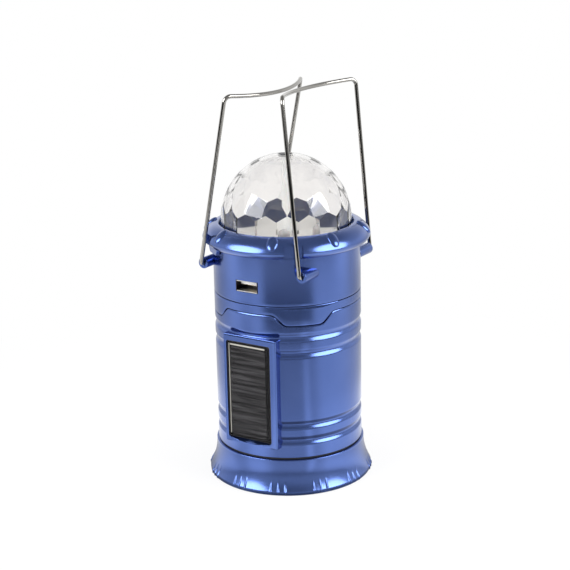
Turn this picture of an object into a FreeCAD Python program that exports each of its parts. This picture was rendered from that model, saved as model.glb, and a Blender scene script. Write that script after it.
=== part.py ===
import FreeCAD, Part
import Sketcher
import math
import os
import re

# A pull-up lantern with a rotating faceted dome, standing on its torch head.
# Millimetres, +Z up, origin at the middle of the foot, front (solar panel) towards -Y.

doc = FreeCAD.newDocument("pull_up_lantern")
sizes = doc.addObject("Spreadsheet::Sheet", "sizes")

DRIVING_SIZES = [
    ("foot_radius", 43.2, "widest radius of the flared foot"),
    ("foot_wall", 6.6, "wall of the foot round the torch lens"),
    ("foot_edge", 0.9, "rounding at the bottom edge of the foot"),
    ("foot_band", 2.6, "height where the flare starts"),
    ("foot_top_radius", 39.6, "radius of the foot's top edge"),
    ("foot_height", 18.2, "height of the foot"),
    ("flare_radius", 31.6, "hollow curve of the flare"),
    ("rib_radius", 1.0, "half width of a grip rib"),
    ("rib_height", 5.4, "height of a grip rib"),
    ("rib_proud", 0.5, "how far a rib stands out of the foot"),
    ("rib_groups", 12, "groups of ribs round the foot"),
    ("rib_pitch", 5.0, "angle between the ribs of a group"),
    ("foot_twist", -6.5, "angle at which the foot is screwed home"),
    ("fit_gap", 0.1, "gap between pieces that are fixed together"),
    ("slide_gap", 0.3, "gap between pieces that slide past each other"),
    ("lens_lip", 3.0, "width of the lip that holds the torch lens"),
    ("lip_height", 1.6, "height of that lip"),
    ("lens_thick", 1.8, "torch lens thickness"),
    ("reflector_wall", 1.2, "wall of the torch reflector"),
    ("reflector_throat", 5.0, "radius of the reflector's throat"),
    ("led_board_radius", 12.0, "torch LED board"),
    ("led_board_thick", 1.2, "torch LED board thickness"),
    ("torch_led_radius", 2.5, "torch LED lens"),
    ("body_radius", 38.6, "outside of both housings"),
    ("body_wall", 2.6, "wall of both housings"),
    ("neck_radius", 37.0, "neck that enters the foot"),
    ("neck_length", 9.0, "length of that neck"),
    ("gasket_height", 0.9, "rubber ring between foot and housing"),
    ("gasket_inset", 0.3, "how far the ring lies inside the wall"),
    ("floor_thick", 2.0, "floors of both housings"),
    ("groove_upper_first", 5.8, "upper pair of grooves, top one, below the castellated seam"),
    ("groove_upper_second", 14.5, "upper pair of grooves, lower one, below the castellated seam"),
    ("groove_lower_first", 37.0, "lower pair of grooves, top one"),
    ("groove_lower_second", 28.4, "lower pair of grooves, lower one"),
    ("groove_width", 3.8, "height of a groove"),
    ("groove_radius", 2.3, "round bottom of a groove"),
    ("castle_low", 10.4, "low level of the castellated seam below the collar seam"),
    ("castle_high", 4.6, "high level of the castellated seam below the collar seam"),
    ("merlon_top", 13.8, "half width of a merlon at its top"),
    ("merlon_foot", 19.3, "half width of a merlon at its foot"),
    ("castle_gap", 0.5, "open line of the castellated seam"),
    ("collar_height", 100.6, "seam between sleeve and upper housing"),
    ("seam_gap", 0.3, "open line of that seam"),
    ("spigot_length", 3.8, "spigot of the upper housing in the sleeve"),
    ("frame_half", 16.8, "half width of the solar frame"),
    ("frame_bottom", 24.8, "bottom of the solar frame"),
    ("frame_top", 6.6, "top of the solar frame below the castellated seam"),
    ("frame_plane", 39.0, "front of the solar frame from the axis"),
    ("panel_half", 13.3, "half width of the opening in the frame"),
    ("panel_bottom", 2.5, "bottom of the opening above the frame's bottom"),
    ("panel_top", 3.5, "top of the opening below the frame's top"),
    ("panel_inset", 0.5, "how far the cover lies behind the frame"),
    ("cover_thick", 0.9, "clear cover of the cells"),
    ("cover_bevel", 0.8, "bevel round the cover"),
    ("cell_thick", 0.8, "board with the solar cells"),
    ("battery_radius", 9.1, "battery cell radius"),
    ("battery_length", 65.0, "battery cell length"),
    ("battery_nub", 3.0, "battery's positive button"),
    ("cradle_half_width", 8.0, "half width of the battery cradle"),
    ("cradle_depth", 7.0, "depth of the battery in its cradle"),
    ("cradle_end", 1.0, "end walls of the cradle"),
    ("contact_thick", 0.5, "battery contact plates"),
    ("board_thick", 1.6, "circuit boards"),
    ("guide_height", 3.0, "height of the guide ring"),
    ("chimney_radius", 33.8, "outside of the clear chimney"),
    ("chimney_wall", 1.6, "wall of the clear chimney"),
    ("chimney_foot_height", 2.5, "height of the chimney's foot ring"),
    ("chimney_foot_floor", 1.5, "floor of the foot ring"),
    ("pull_travel", 40.0, "how far the upper half pulls up"),
    ("cone_radius", 31.0, "cone reflector at its base"),
    ("cone_tip", 4.0, "cone reflector at its tip"),
    ("cone_height", 28.0, "cone reflector height"),
    ("cone_wall", 1.2, "cone reflector wall"),
    ("lamp_board_radius", 30.0, "lamp board"),
    ("lamp_led_radius", 2.4, "lamp LEDs"),
    ("lamp_led_height", 1.6, "lamp LED height"),
    ("lamp_led_circle", 20.0, "circle of the lamp LEDs"),
    ("lamp_led_count", 6, "number of lamp LEDs"),
    ("upper_top", 27.9, "top of the upper housing above the collar seam"),
    ("usb_height", 9.4, "middle of the USB socket above the collar seam"),
    ("usb_width", 13.0, "width of the USB shell"),
    ("usb_tall", 5.6, "height of the USB shell"),
    ("usb_sheet", 0.35, "sheet of the USB shell"),
    ("usb_depth", 14.0, "depth of the USB shell"),
    ("usb_inset", 0.4, "how far the shell lies inside the wall"),
    ("tongue_width", 10.6, "USB tongue width"),
    ("tongue_thick", 1.8, "USB tongue thickness"),
    ("tongue_inset", 3.0, "how far the tongue lies inside the shell"),
    ("tongue_back", 4.0, "block that holds the tongue"),
    ("contact_width", 1.2, "USB contacts"),
    ("contact_pitch", 2.4, "spacing of the USB contacts"),
    ("usb_board_half", 9.0, "half width of the USB board"),
    ("usb_board_depth", 16.0, "depth of the USB board"),
    ("post_radius", 1.5, "posts under the USB board"),
    ("lug_radius", 2.9, "bail lug"),
    ("lug_end", 33.7, "end face of a lug from the middle plane"),
    ("hinge_height", 16.9, "bail hinges above the collar seam"),
    ("hinge_side", 29.8, "bail hinge from the middle plane"),
    ("hinge_gap", 0.08, "running gap of the wire in its lug"),
    ("wire_radius", 1.05, "bail wire"),
    ("bail_half", 35.5, "bail leg from the middle plane"),
    ("bail_length", 89.8, "bail leg from its hinge to its bar"),
    ("bail_bow", 8.5, "bow of the bail's bar"),
    ("bail_corner", 3.4, "bend between leg and bar"),
    ("tail_bend", 1.6, "bend between leg and hinge tail"),
    ("tail_length", 7.0, "hinge tail of the wire"),
    ("left_lean", 11.6, "inward lean of the left bail"),
    ("right_lean", 5.2, "inward lean of the right bail"),
    ("rim_bottom", 25.1, "lower edge of the rim above the collar seam"),
    ("rim_radius", 43.9, "widest radius of the rim"),
    ("rim_widest", 29.0, "the rim's widest place above the collar seam"),
    ("rim_top", 35.9, "top edge of the rim above the collar seam"),
    ("rim_land", 1.0, "flat land at the top edge"),
    ("rim_under_curve", 1.09, "bulge of the curve under the rim"),
    ("rim_over_curve", 1.53, "bulge of the curve over the rim"),
    ("bead_count", 8, "beads on the rim"),
    ("bead_circle", 3.4, "how far inside the rim's widest radius the beads sit"),
    ("bead_height", 33.3, "middle of the beads above the collar seam"),
    ("bead_width", 3.0, "half width of a bead"),
    ("bead_length", 4.6, "half length of a bead"),
    ("bead_proud", 1.6, "half thickness of a bead"),
    ("bead_lean", 42.0, "lean of a bead on the rim"),
    ("notch_width", 9.5, "notch in the rim for a bail leg"),
    ("notch_floor", 3.3, "depth of a notch from the rim's widest radius"),
    ("notch_top", 32.4, "top of a notch above the collar seam"),
    ("notch_angle", 37.0, "angle of the notches from the front"),
    ("tab_drop", 2.7, "how far a tab hangs below the rim at a notch"),
    ("tab_half", 6.4, "half width of a tab at the rim"),
    ("tab_foot", 4.4, "half width of a tab at its lower edge"),
    ("tab_root", 1.0, "height by which a tab is rooted in the rim"),
    ("deck_height", 28.6, "underside of the deck above the collar seam"),
    ("deck_thick", 1.4, "deck thickness"),
    ("deck_seat", 2.0, "ledge of the rim that carries the deck"),
    ("deck_hole", 4.2, "hole in the deck for the dome post"),
    ("dome_gap", 1.1, "gap between the dome and the rim"),
    ("dome_radius", 34.1, "outside of the dome"),
    ("dome_centre", 37.1, "centre of the dome above the collar seam"),
    ("dome_skirt", 3.0, "skirt below the dome's centre"),
    ("dome_wall", 1.9, "wall of the dome at the corners of its facets"),
    ("facet_depth", 0.72, "how much thicker the wall is in the middle of a facet"),
    ("facet_count", 18, "facets in a row"),
    ("facet_first_row", 3.5, "elevation of the lowest row"),
    ("facet_row_pitch", 17.0, "elevation from row to row"),
    ("facet_rows", 4, "rows of facets"),
    ("facet_phase", 3.7, "angle at which the dome stands"),
    ("dome_post_radius", 2.2, "post that carries the dome"),
    ("dome_post_bottom", 26.6, "lower end of that post above the collar seam"),
    ("dome_screw_radius", 3.4, "head of the dome screw"),
    ("dome_screw_shank", 1.3, "shank of the dome screw"),
    ("dome_screw_length", 8.0, "shank length"),
    ("dome_screw_head", 0.9, "head height"),
    ("party_led_radius", 2.5, "party LEDs under the dome"),
    ("party_led_height", 3.0, "straight part of a party LED"),
    ("party_led_circle", 18.0, "circle of the party LEDs"),
    ("party_led_count", 6, "number of party LEDs"),
    ("deck_screw_radius", 1.6, "deck screw heads"),
    ("deck_screw_height", 0.9, "deck screw head height"),
    ("deck_screw_circle", 28.0, "circle of the deck screws"),
    ("deck_screw_count", 3, "number of deck screws"),
    ("motor_radius", 7.0, "dome motor"),
    ("motor_length", 20.0, "length of the motor can"),
    ("motor_nose", 1.6, "nose of the motor"),
    ("motor_nose_radius", 3.0, "radius of that nose"),
    ("mount_wall", 3.0, "wall of the motor mount"),
    ("mount_height", 13.0, "height of the motor mount"),
    ("mount_floor", 1.5, "floor of the motor mount"),
    ("shaft_radius", 1.0, "motor shaft"),
    ("shaft_gap", 0.05, "running gap of the motor shaft"),
    ("shaft_depth", 13.0, "depth of the shaft in the motor"),
    ("shaft_reach", 10.0, "reach of the shaft in the post"),
    ("button_height", 11.9, "mode button above the collar seam"),
    ("button_radius", 4.4, "mode button cap"),
    ("button_proud", 1.0, "how far the cap stands out"),
    ("button_flange", 0.8, "flange that keeps the button in"),
    ("button_flange_thick", 1.4, "thickness of that flange"),
    ("button_travel", 1.0, "push of the mode button"),
    ("switch_half", 3.0, "half size of the push switch"),
    ("switch_depth", 4.5, "depth of the push switch"),
    ("plunger_radius", 1.5, "plunger of the push switch"),
    ("plunger_length", 1.0, "length of that plunger"),
    ("button_board_half", 8.0, "half width of the button board"),
    ("button_board_tall", 18.0, "height of the button board"),
]

for row, (alias, number, meaning) in enumerate(DRIVING_SIZES, start=1):
    sizes.set(f"A{row}", meaning)
    sizes.set(f"B{row}", str(number))
    sizes.setAlias(f"B{row}", alias)
doc.recompute()

ALIASES = {alias for alias, number, meaning in DRIVING_SIZES}


def sized(expression):
    """An expression on plain size names, with each name pointed at the sheet."""
    def point_at_sheet(match):
        word = match.group(0)
        return "sizes." + word if word in ALIASES else word
    return re.sub(r"[A-Za-z_]\w*", point_at_sheet, str(expression))


def value(expression):
    """The number that an expression on the sheet gives now."""
    return float(sizes.evalExpression(sized(expression)))


def count(alias):
    """A whole number from the sheet."""
    return int(round(value(alias)))


def bind(item, **expressions):
    """Tie properties of a document object to the sheet."""
    for path, expression in expressions.items():
        item.setExpression(path, sized(expression))
    return item


def put(item, x="0", y="0", z="0", axis=None, angle="0"):
    """Place a document object by expressions, turned about one axis through its own origin."""
    if axis is not None:
        item.Placement = FreeCAD.Placement(FreeCAD.Vector(), FreeCAD.Rotation(axis, value(angle)))
        item.setExpression("Placement.Rotation.Angle", sized(angle))
    for letter, expression in (("x", x), ("y", y), ("z", z)):
        item.setExpression("Placement.Base." + letter, sized(expression))
    return item


ALONG_X = FreeCAD.Vector(1, 0, 0)
ALONG_Y = FreeCAD.Vector(0, 1, 0)
ALONG_Z = FreeCAD.Vector(0, 0, 1)


def origin_plane(body, role):
    """One of a body's own origin planes."""
    return next(plane for plane in body.Origin.OriginFeatures if plane.Role == role)


def sketch_on(body, name, role="XZ_Plane"):
    """An empty sketch on one of a body's origin planes."""
    sketch = body.newObject("Sketcher::SketchObject", name)
    sketch.AttachmentSupport = [(origin_plane(body, role), "")]
    sketch.MapMode = "FlatFace"
    return sketch


def arc_middle(start, end, radius, side):
    """Middle of a circular arc between two points; side 1 bulges to the left of the way, -1 to the right."""
    chord = end - start
    left = FreeCAD.Vector(-chord.y, chord.x, 0).normalize()
    rise = radius - math.sqrt(radius ** 2 - (chord.Length / 2) ** 2)
    return (start + end) / 2 + left * (side * rise)


def bulged(start, end, bulge):
    """Radius, as an expression, of the arc that rises by a bulge over the chord between two corners."""
    chord_squared = f"((({end[0]}) - ({start[0]})) ^ 2 + (({end[1]}) - ({start[1]})) ^ 2)"
    return f"{chord_squared} / (8 * {bulge}) + {bulge} / 2"


def draw(sketch, outline):
    """A closed outline. A corner is (across, up), or (across, up, radius, side) at the end of an arc."""
    corners = [FreeCAD.Vector(value(corner[0]), value(corner[1]), 0) for corner in outline]
    edges = []
    ends = []
    for index, corner in enumerate(outline):
        start, end = corners[index - 1], corners[index]
        if len(corner) == 2:
            edges.append(Part.LineSegment(start, end))
            ends.append((1, 2))
        elif corner[3] < 0:
            edges.append(Part.Arc(start, arc_middle(start, end, value(corner[2]), -1), end))
            ends.append((1, 2))
        else:
            edges.append(Part.Arc(end, arc_middle(start, end, value(corner[2]), 1), start))
            ends.append((2, 1))
    sketch.addGeometry(edges, False)
    rules = []
    expressions = []

    def rule(expression, *terms):
        rules.append(Sketcher.Constraint(*terms))
        expressions.append(expression)

    for index, corner in enumerate(outline):
        following = (index + 1) % len(outline)
        last = ends[index][1]
        rule(None, "Coincident", index, last, following, ends[following][0])
        rule(corner[0], "DistanceX", index, last, corners[index].x)
        rule(corner[1], "DistanceY", index, last, corners[index].y)
        if len(corner) > 2:
            rule(corner[2], "Radius", index, value(corner[2]))
    sketch.addConstraint(rules)
    for index, expression in enumerate(expressions):
        if expression is not None:
            sketch.setExpression(f"Constraints[{index}]", sized(expression))
    return sketch


def turned(label, outline):
    """A body turned about the lantern's axis from an outline of (radius, height) corners."""
    body = doc.addObject("PartDesign::Body", label)
    sketch = draw(sketch_on(body, label + "_outline"), outline)
    turn = body.newObject("PartDesign::Revolution", label + "_turn")
    turn.Profile = sketch
    turn.ReferenceAxis = (sketch, ["V_Axis"])
    turn.Angle = 360
    return body


def block(label, x, y, z):
    """A box between (low, high) expressions on each axis."""
    item = doc.addObject("Part::Box", label)
    bind(item, Length=f"({x[1]}) - ({x[0]})", Width=f"({y[1]}) - ({y[0]})", Height=f"({z[1]}) - ({z[0]})")
    return put(item, x[0], y[0], z[0])


def rod(label, radius, length, x="0", y="0", z="0", axis=None, angle="0"):
    """A round bar, upright unless it is turned."""
    item = doc.addObject("Part::Cylinder", label)
    bind(item, Radius=radius, Height=length)
    return put(item, x, y, z, axis, angle)


def joined(label, *pieces):
    """Pieces fused into one solid."""
    item = doc.addObject("Part::MultiFuse", label)
    item.Shapes = list(pieces)
    item.Refine = True
    return item


def shared(label, *pieces):
    """The space that all the pieces share."""
    item = doc.addObject("Part::MultiCommon", label)
    item.Shapes = list(pieces)
    return item


def cut(label, base, *tools):
    """A piece with other shapes cut out of it."""
    tool = tools[0]
    if len(tools) > 1:
        tool = joined(label + "_tools", *tools)
    item = doc.addObject("Part::Cut", label)
    item.Base = base
    item.Tool = tool
    return item


def group(label, pieces):
    """Separate like solids kept under one name."""
    item = doc.addObject("Part::Compound", label)
    item.Links = list(pieces)
    return item


def circle_of(number):
    """Angles of a full circle in equal steps, as expressions on the count's own size."""
    return [f"360 / {number} * {index}" for index in range(count(number))]


# Heights and radii that follow from the driving sizes
UPPER_TOP = "(collar_height + upper_top)"
USB_MIDDLE = "(collar_height + usb_height)"
HINGE_LEVEL = "(collar_height + hinge_height)"
RIM_BOTTOM = "(collar_height + rim_bottom)"
RIM_WIDEST = "(collar_height + rim_widest)"
RIM_TOP = "(collar_height + rim_top)"
BEAD_LEVEL = "(collar_height + bead_height)"
NOTCH_TOP = "(collar_height + notch_top)"
DECK_BOTTOM = "(collar_height + deck_height)"
DOME_CENTRE = "(collar_height + dome_centre)"
POST_BOTTOM = "(collar_height + dome_post_bottom)"
BUTTON_LEVEL = "(collar_height + button_height)"
CASTLE_LOW = "(collar_height - castle_low)"
CASTLE_HIGH = "(collar_height - castle_high)"
UPPER_GROOVE_FIRST = f"({CASTLE_LOW} - groove_upper_first)"
UPPER_GROOVE_SECOND = f"({CASTLE_LOW} - groove_upper_second)"
FRAME_TOP = f"({CASTLE_LOW} - frame_top)"
PANEL_TOP = f"({FRAME_TOP} - panel_top)"
PANEL_BOTTOM = "(frame_bottom + panel_bottom)"
BEAD_CIRCLE = "(rim_radius - bead_circle)"
NOTCH_FLOOR = "(rim_radius - notch_floor)"
LENS_BORE = "(foot_radius - foot_wall)"
BORE = "(body_radius - body_wall)"
FOOT_BORE = "(neck_radius + fit_gap)"
SHOULDER = "(foot_height + gasket_height)"
FLOOR_BOTTOM = f"({SHOULDER} - floor_thick / 2)"
FLOOR_TOP = f"({SHOULDER} + floor_thick / 2)"
LENS_TOP = "(lip_height + lens_thick)"
THROAT = f"({FLOOR_BOTTOM} - led_board_thick)"
NECK_BOTTOM = f"({SHOULDER} - neck_length)"
GUIDE_BOTTOM = f"({CASTLE_LOW} - guide_height)"
CHIMNEY_FOOT_TOP = f"({GUIDE_BOTTOM} - pull_travel - slide_gap)"
CHIMNEY_FOOT_FLOOR = f"({CHIMNEY_FOOT_TOP} - chimney_foot_height + chimney_foot_floor)"
UPPER_BOTTOM = "(collar_height + seam_gap)"
UPPER_FLOOR = f"({UPPER_BOTTOM} + floor_thick)"
SPIGOT = f"({BORE} - fit_gap)"
CHIMNEY_SEAT = "(chimney_radius + fit_gap)"
nodes = []

# Flared foot: a moulded ring that is also the torch head, with grip ribs round its lower edge
foot_ring = turned("foot_ring", [
    (f"{LENS_BORE} - lens_lip", "0"),
    ("foot_radius - foot_edge", "0"),
    ("foot_radius", "foot_edge", "foot_edge", -1),
    ("foot_radius", "foot_band"),
    ("foot_top_radius", "foot_height", "flare_radius", 1),
    (FOOT_BORE, "foot_height"),
    (FOOT_BORE, f"{NECK_BOTTOM} - fit_gap"),
    (LENS_BORE, f"{NECK_BOTTOM} - fit_gap"),
    (LENS_BORE, "lip_height"),
    (f"{LENS_BORE} - lens_lip", "lip_height"),
])
ribs = []
for index, turn in enumerate(circle_of("rib_groups")):
    for step in (-1, 0, 1):
        angle = f"({turn}) + foot_twist + rib_pitch * {step}"
        centre = "(foot_radius + rib_proud - rib_radius)"
        ribs.append(rod(
            f"rib_{index}_{step + 1}", "rib_radius", "rib_height - foot_edge",
            f"{centre} * sin({angle})", f"-{centre} * cos({angle})", "foot_edge"))
nodes.append(joined("base_foot", foot_ring, *ribs))

# Rubber ring that seals the foot against the housing's shoulder
nodes.append(turned("foot_gasket", [
    (FOOT_BORE, "foot_height"),
    ("body_radius - gasket_inset", "foot_height"),
    ("body_radius - gasket_inset", SHOULDER),
    (FOOT_BORE, SHOULDER),
]))

# Torch under the foot: lens on the lip, bright bowl over it, LED in the bowl's throat
nodes.append(rod("torch_lens", f"{LENS_BORE} - fit_gap", "lens_thick", z="lip_height"))
BOWL_MOUTH = f"({LENS_BORE} - lens_lip - reflector_wall)"
BOWL_STEPS = 6


def bowl(step, wall):
    """A point of the bowl: its depth falls with the square of the way out from the throat to the mouth."""
    share = f"({step} / {BOWL_STEPS})"
    radius = f"reflector_throat + ({BOWL_MOUTH} - reflector_throat) * {share} + {wall}"
    return radius, f"{THROAT} - ({THROAT} - {LENS_TOP} - {wall}) * {share} ^ 2"


nodes.append(turned("torch_reflector", [
    (f"{LENS_BORE} - fit_gap", LENS_TOP),
    (f"{LENS_BORE} - fit_gap", f"{LENS_TOP} + reflector_wall"),
    *[bowl(step, "reflector_wall") for step in range(BOWL_STEPS, -1, -1)],
    *[bowl(step, "0") for step in range(BOWL_STEPS + 1)],
]))
nodes.append(rod("torch_led_board", "led_board_radius", "led_board_thick", z=THROAT))
torch_chip = rod("torch_chip", "torch_led_radius", "led_board_thick", z=f"{THROAT} - led_board_thick")
torch_bulb = doc.addObject("Part::Sphere", "torch_bulb")
bind(torch_bulb, Radius="torch_led_radius", Angle2="0")
put(torch_bulb, z=f"{THROAT} - led_board_thick")
nodes.append(joined("torch_led", torch_chip, torch_bulb))

# Lower housing: a grooved tube on a neck, with a floor, a castellated top edge and a solar frame
grooved_wall = [("body_radius", SHOULDER)]
for groove in ("groove_lower_second", "groove_lower_first", UPPER_GROOVE_SECOND, UPPER_GROOVE_FIRST):
    grooved_wall.append(("body_radius", f"{groove} - groove_width / 2"))
    grooved_wall.append(("body_radius", f"{groove} + groove_width / 2", "groove_radius", 1))
housing_tube = turned("housing_tube", [
    ("0", FLOOR_BOTTOM),
    ("neck_radius - body_wall", FLOOR_BOTTOM),
    ("neck_radius - body_wall", NECK_BOTTOM),
    ("neck_radius", NECK_BOTTOM),
    ("neck_radius", SHOULDER),
    *grooved_wall,
    ("body_radius", CASTLE_LOW),
    (BORE, CASTLE_LOW),
    (BORE, FLOOR_TOP),
    ("0", FLOOR_TOP),
])


def merlon_prisms(label, spare):
    """Two crossed bars of the merlon's trapezoid section, wider and taller by the spare gap."""
    bars = []
    for quarter in (0, 1):
        bar = doc.addObject("Part::Wedge", f"{label}_{quarter}")
        bind(
            bar, Ymin="0", Ymax=f"{CASTLE_HIGH} - {CASTLE_LOW} + {spare}",
            Xmin=f"-merlon_foot - {spare}", Xmax=f"merlon_foot + {spare}",
            X2min=f"-merlon_top - {spare}", X2max=f"merlon_top + {spare}",
            Zmin="-body_radius * 2", Zmax="body_radius * 2",
            Z2min="-body_radius * 2", Z2max="body_radius * 2")
        upright = FreeCAD.Rotation(ALONG_X, 90)
        bar.Placement.Rotation = FreeCAD.Rotation(ALONG_Z, 90 * quarter).multiply(upright)
        bar.setExpression("Placement.Base.z", sized(CASTLE_LOW))
        bars.append(bar)
    return joined(label, *bars)


def tube(label, outer, inner, low, high):
    """A plain tube between two heights."""
    return turned(label, [(inner, low), (outer, low), (outer, high), (inner, high)])


merlon_ring = tube("merlon_ring", "body_radius", BORE, CASTLE_LOW, CASTLE_HIGH)
merlons = shared("merlons", merlon_ring, merlon_prisms("merlon_bars", "0"))
frame_slab = block(
    "frame_slab", ("-frame_half", "frame_half"), ("-frame_plane", "-frame_half"), ("frame_bottom", FRAME_TOP))
bore_plug = rod("bore_plug", f"{BORE} + fit_gap", CASTLE_LOW)
solar_frame = cut("solar_frame", frame_slab, bore_plug)
CELL_BACK = "(frame_plane - panel_inset - cover_thick - cell_thick)"
panel_pocket = block(
    "panel_pocket", ("-panel_half", "panel_half"), ("-frame_plane - body_wall", f"-{CELL_BACK}"),
    (PANEL_BOTTOM, PANEL_TOP))
housing_blank = joined("housing_blank", housing_tube, merlons, solar_frame)
nodes.append(cut("lower_housing", housing_blank, panel_pocket))

# Solar panel in its pocket: the board of cells, then the clear cover with a bevelled edge
nodes.append(block(
    "solar_cells", ("-panel_half + fit_gap", "panel_half - fit_gap"),
    (f"-{CELL_BACK} - cell_thick", f"-{CELL_BACK}"), (f"{PANEL_BOTTOM} + fit_gap", f"{PANEL_TOP} - fit_gap")))
cover = doc.addObject("Part::Wedge", "solar_cover")
bind(
    cover, Ymin="0", Ymax="cover_thick", Xmin="-panel_half + fit_gap", Xmax="panel_half - fit_gap",
    X2min="-panel_half + fit_gap + cover_bevel", X2max="panel_half - fit_gap - cover_bevel",
    Zmin=f"{PANEL_BOTTOM} + fit_gap - {PANEL_TOP}", Zmax="-fit_gap",
    Z2min=f"{PANEL_BOTTOM} + fit_gap - {PANEL_TOP} + cover_bevel", Z2max="-fit_gap - cover_bevel")
put(cover, y=f"-{CELL_BACK} - cell_thick", z=PANEL_BOTTOM, axis=ALONG_X, angle="180")
nodes.append(cover)

# Battery cell lying in its cradle on the floor, with a contact at each end and the charge board above
BATTERY_HEIGHT = f"({FLOOR_TOP} + floor_thick + battery_radius)"
CELL_END = "(battery_length / 2)"
CRADLE_END = f"({CELL_END} + contact_thick + fit_gap)"
CRADLE_TOP = f"({BATTERY_HEIGHT} + battery_radius + fit_gap * 5)"
cell_can = rod(
    "cell_can", "battery_radius", "battery_length - floor_thick / 2", f"-{CELL_END}", "0", BATTERY_HEIGHT,
    ALONG_Y, "90")
cell_nub = rod(
    "cell_nub", "battery_nub", "battery_length", f"-{CELL_END}", "0", BATTERY_HEIGHT, ALONG_Y, "90")
nodes.append(joined("battery", cell_can, cell_nub))
cradle_bed = block(
    "cradle_bed", (f"-{CRADLE_END}", CRADLE_END), ("-cradle_half_width", "cradle_half_width"),
    (FLOOR_TOP, f"{FLOOR_TOP} + cradle_depth"))
cell_room = rod(
    "cell_room", "battery_radius + fit_gap", f"{CRADLE_END} * 2", f"-{CRADLE_END}", "0", BATTERY_HEIGHT,
    ALONG_Y, "90")
cradle_walls = [
    block(
        f"cradle_wall_{side}", (low, high), ("-cradle_half_width", "cradle_half_width"),
        (FLOOR_TOP, CRADLE_TOP))
    for side, low, high in (
        ("left", f"-{CRADLE_END} - cradle_end", f"-{CRADLE_END}"),
        ("right", CRADLE_END, f"{CRADLE_END} + cradle_end"))
]
nodes.append(joined("battery_cradle", cut("cradle_trough", cradle_bed, cell_room), *cradle_walls))
nodes.append(group("battery_contacts", [
    block(
        f"contact_plate_{side}", (low, high), ("-battery_nub", "battery_nub"),
        (f"{BATTERY_HEIGHT} - battery_nub", f"{BATTERY_HEIGHT} + battery_nub"))
    for side, low, high in (
        ("left", f"-{CRADLE_END}", f"-{CRADLE_END} + contact_thick"),
        ("right", f"{CRADLE_END} - contact_thick", CRADLE_END))
]))
nodes.append(block(
    "charge_board", (f"-{CRADLE_END} - cradle_end", f"{CRADLE_END} + cradle_end"),
    ("-cradle_half_width", "cradle_half_width"), (CRADLE_TOP, f"{CRADLE_TOP} + board_thick")))

# Guide ring bonded in the housing's mouth: it steadies the chimney and stops its foot at full height
nodes.append(tube("guide_ring", f"{BORE} - fit_gap", "chimney_radius + slide_gap", GUIDE_BOTTOM, CASTLE_LOW))

# Sleeve whose teeth drop between the housing's merlons when the lantern is shut
sleeve_ring = tube("sleeve_ring", "body_radius", BORE, f"{CASTLE_LOW} + castle_gap", "collar_height")
nodes.append(cut("interlock_sleeve", sleeve_ring, merlon_prisms("merlon_room", "castle_gap")))

# Upper housing: a cup with a spigot below, lugs for the bails, a window for the USB socket and a button hole
upper_cup = turned("upper_cup", [
    ("0", UPPER_BOTTOM),
    (CHIMNEY_SEAT, UPPER_BOTTOM),
    (CHIMNEY_SEAT, f"{UPPER_BOTTOM} - spigot_length"),
    (SPIGOT, f"{UPPER_BOTTOM} - spigot_length"),
    (SPIGOT, UPPER_BOTTOM),
    ("body_radius", UPPER_BOTTOM),
    ("body_radius", UPPER_TOP),
    (BORE, UPPER_TOP),
    (BORE, UPPER_FLOOR),
    ("0", UPPER_FLOOR),
])
LUG_ROOT = "sqrt(body_radius ^ 2 - (hinge_side + lug_radius) ^ 2)"
lugs = []
lug_holes = []
for side in (-1, 1):
    for end in (-1, 1):
        name = f"{'left' if side < 0 else 'right'}_{'front' if end < 0 else 'rear'}"
        start = f"{end} * {LUG_ROOT}" if end < 0 else LUG_ROOT
        lugs.append(rod(
            "lug_" + name, "lug_radius", f"lug_end - {LUG_ROOT}", f"{side} * hinge_side", start, HINGE_LEVEL,
            ALONG_X, str(-90 * end)))
        lug_holes.append(rod(
            "lug_hole_" + name, "wire_radius + hinge_gap", "tail_length + tail_bend", f"{side} * hinge_side",
            f"{end} * (lug_end - tail_length)", HINGE_LEVEL, ALONG_X, str(-90 * end)))
USB_BOTTOM = f"({USB_MIDDLE} - usb_tall / 2)"
USB_FRONT = "(body_radius - usb_inset)"
BOARD_BACK = f"({USB_FRONT} - usb_depth)"
posts = [
    rod(f"post_{side}", "post_radius", f"{USB_BOTTOM} - board_thick - {UPPER_FLOOR}",
        f"{side} * usb_board_half / 2", f"-{BOARD_BACK}", UPPER_FLOOR)
    for side in (-1, 1)
]
usb_window = block(
    "usb_window", ("-usb_width / 2 - fit_gap", "usb_width / 2 + fit_gap"),
    ("-body_radius - body_wall", "-body_radius / 2"),
    (f"{USB_BOTTOM} - fit_gap", f"{USB_BOTTOM} + usb_tall + fit_gap"))
button_hole = rod(
    "button_hole", "button_radius + slide_gap", "body_radius", "0", "body_radius / 2", BUTTON_LEVEL,
    ALONG_X, "-90")
upper_blank = joined("upper_blank", upper_cup, *lugs, *posts)
nodes.append(cut("upper_housing", upper_blank, *lug_holes, usb_window, button_hole))

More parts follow.
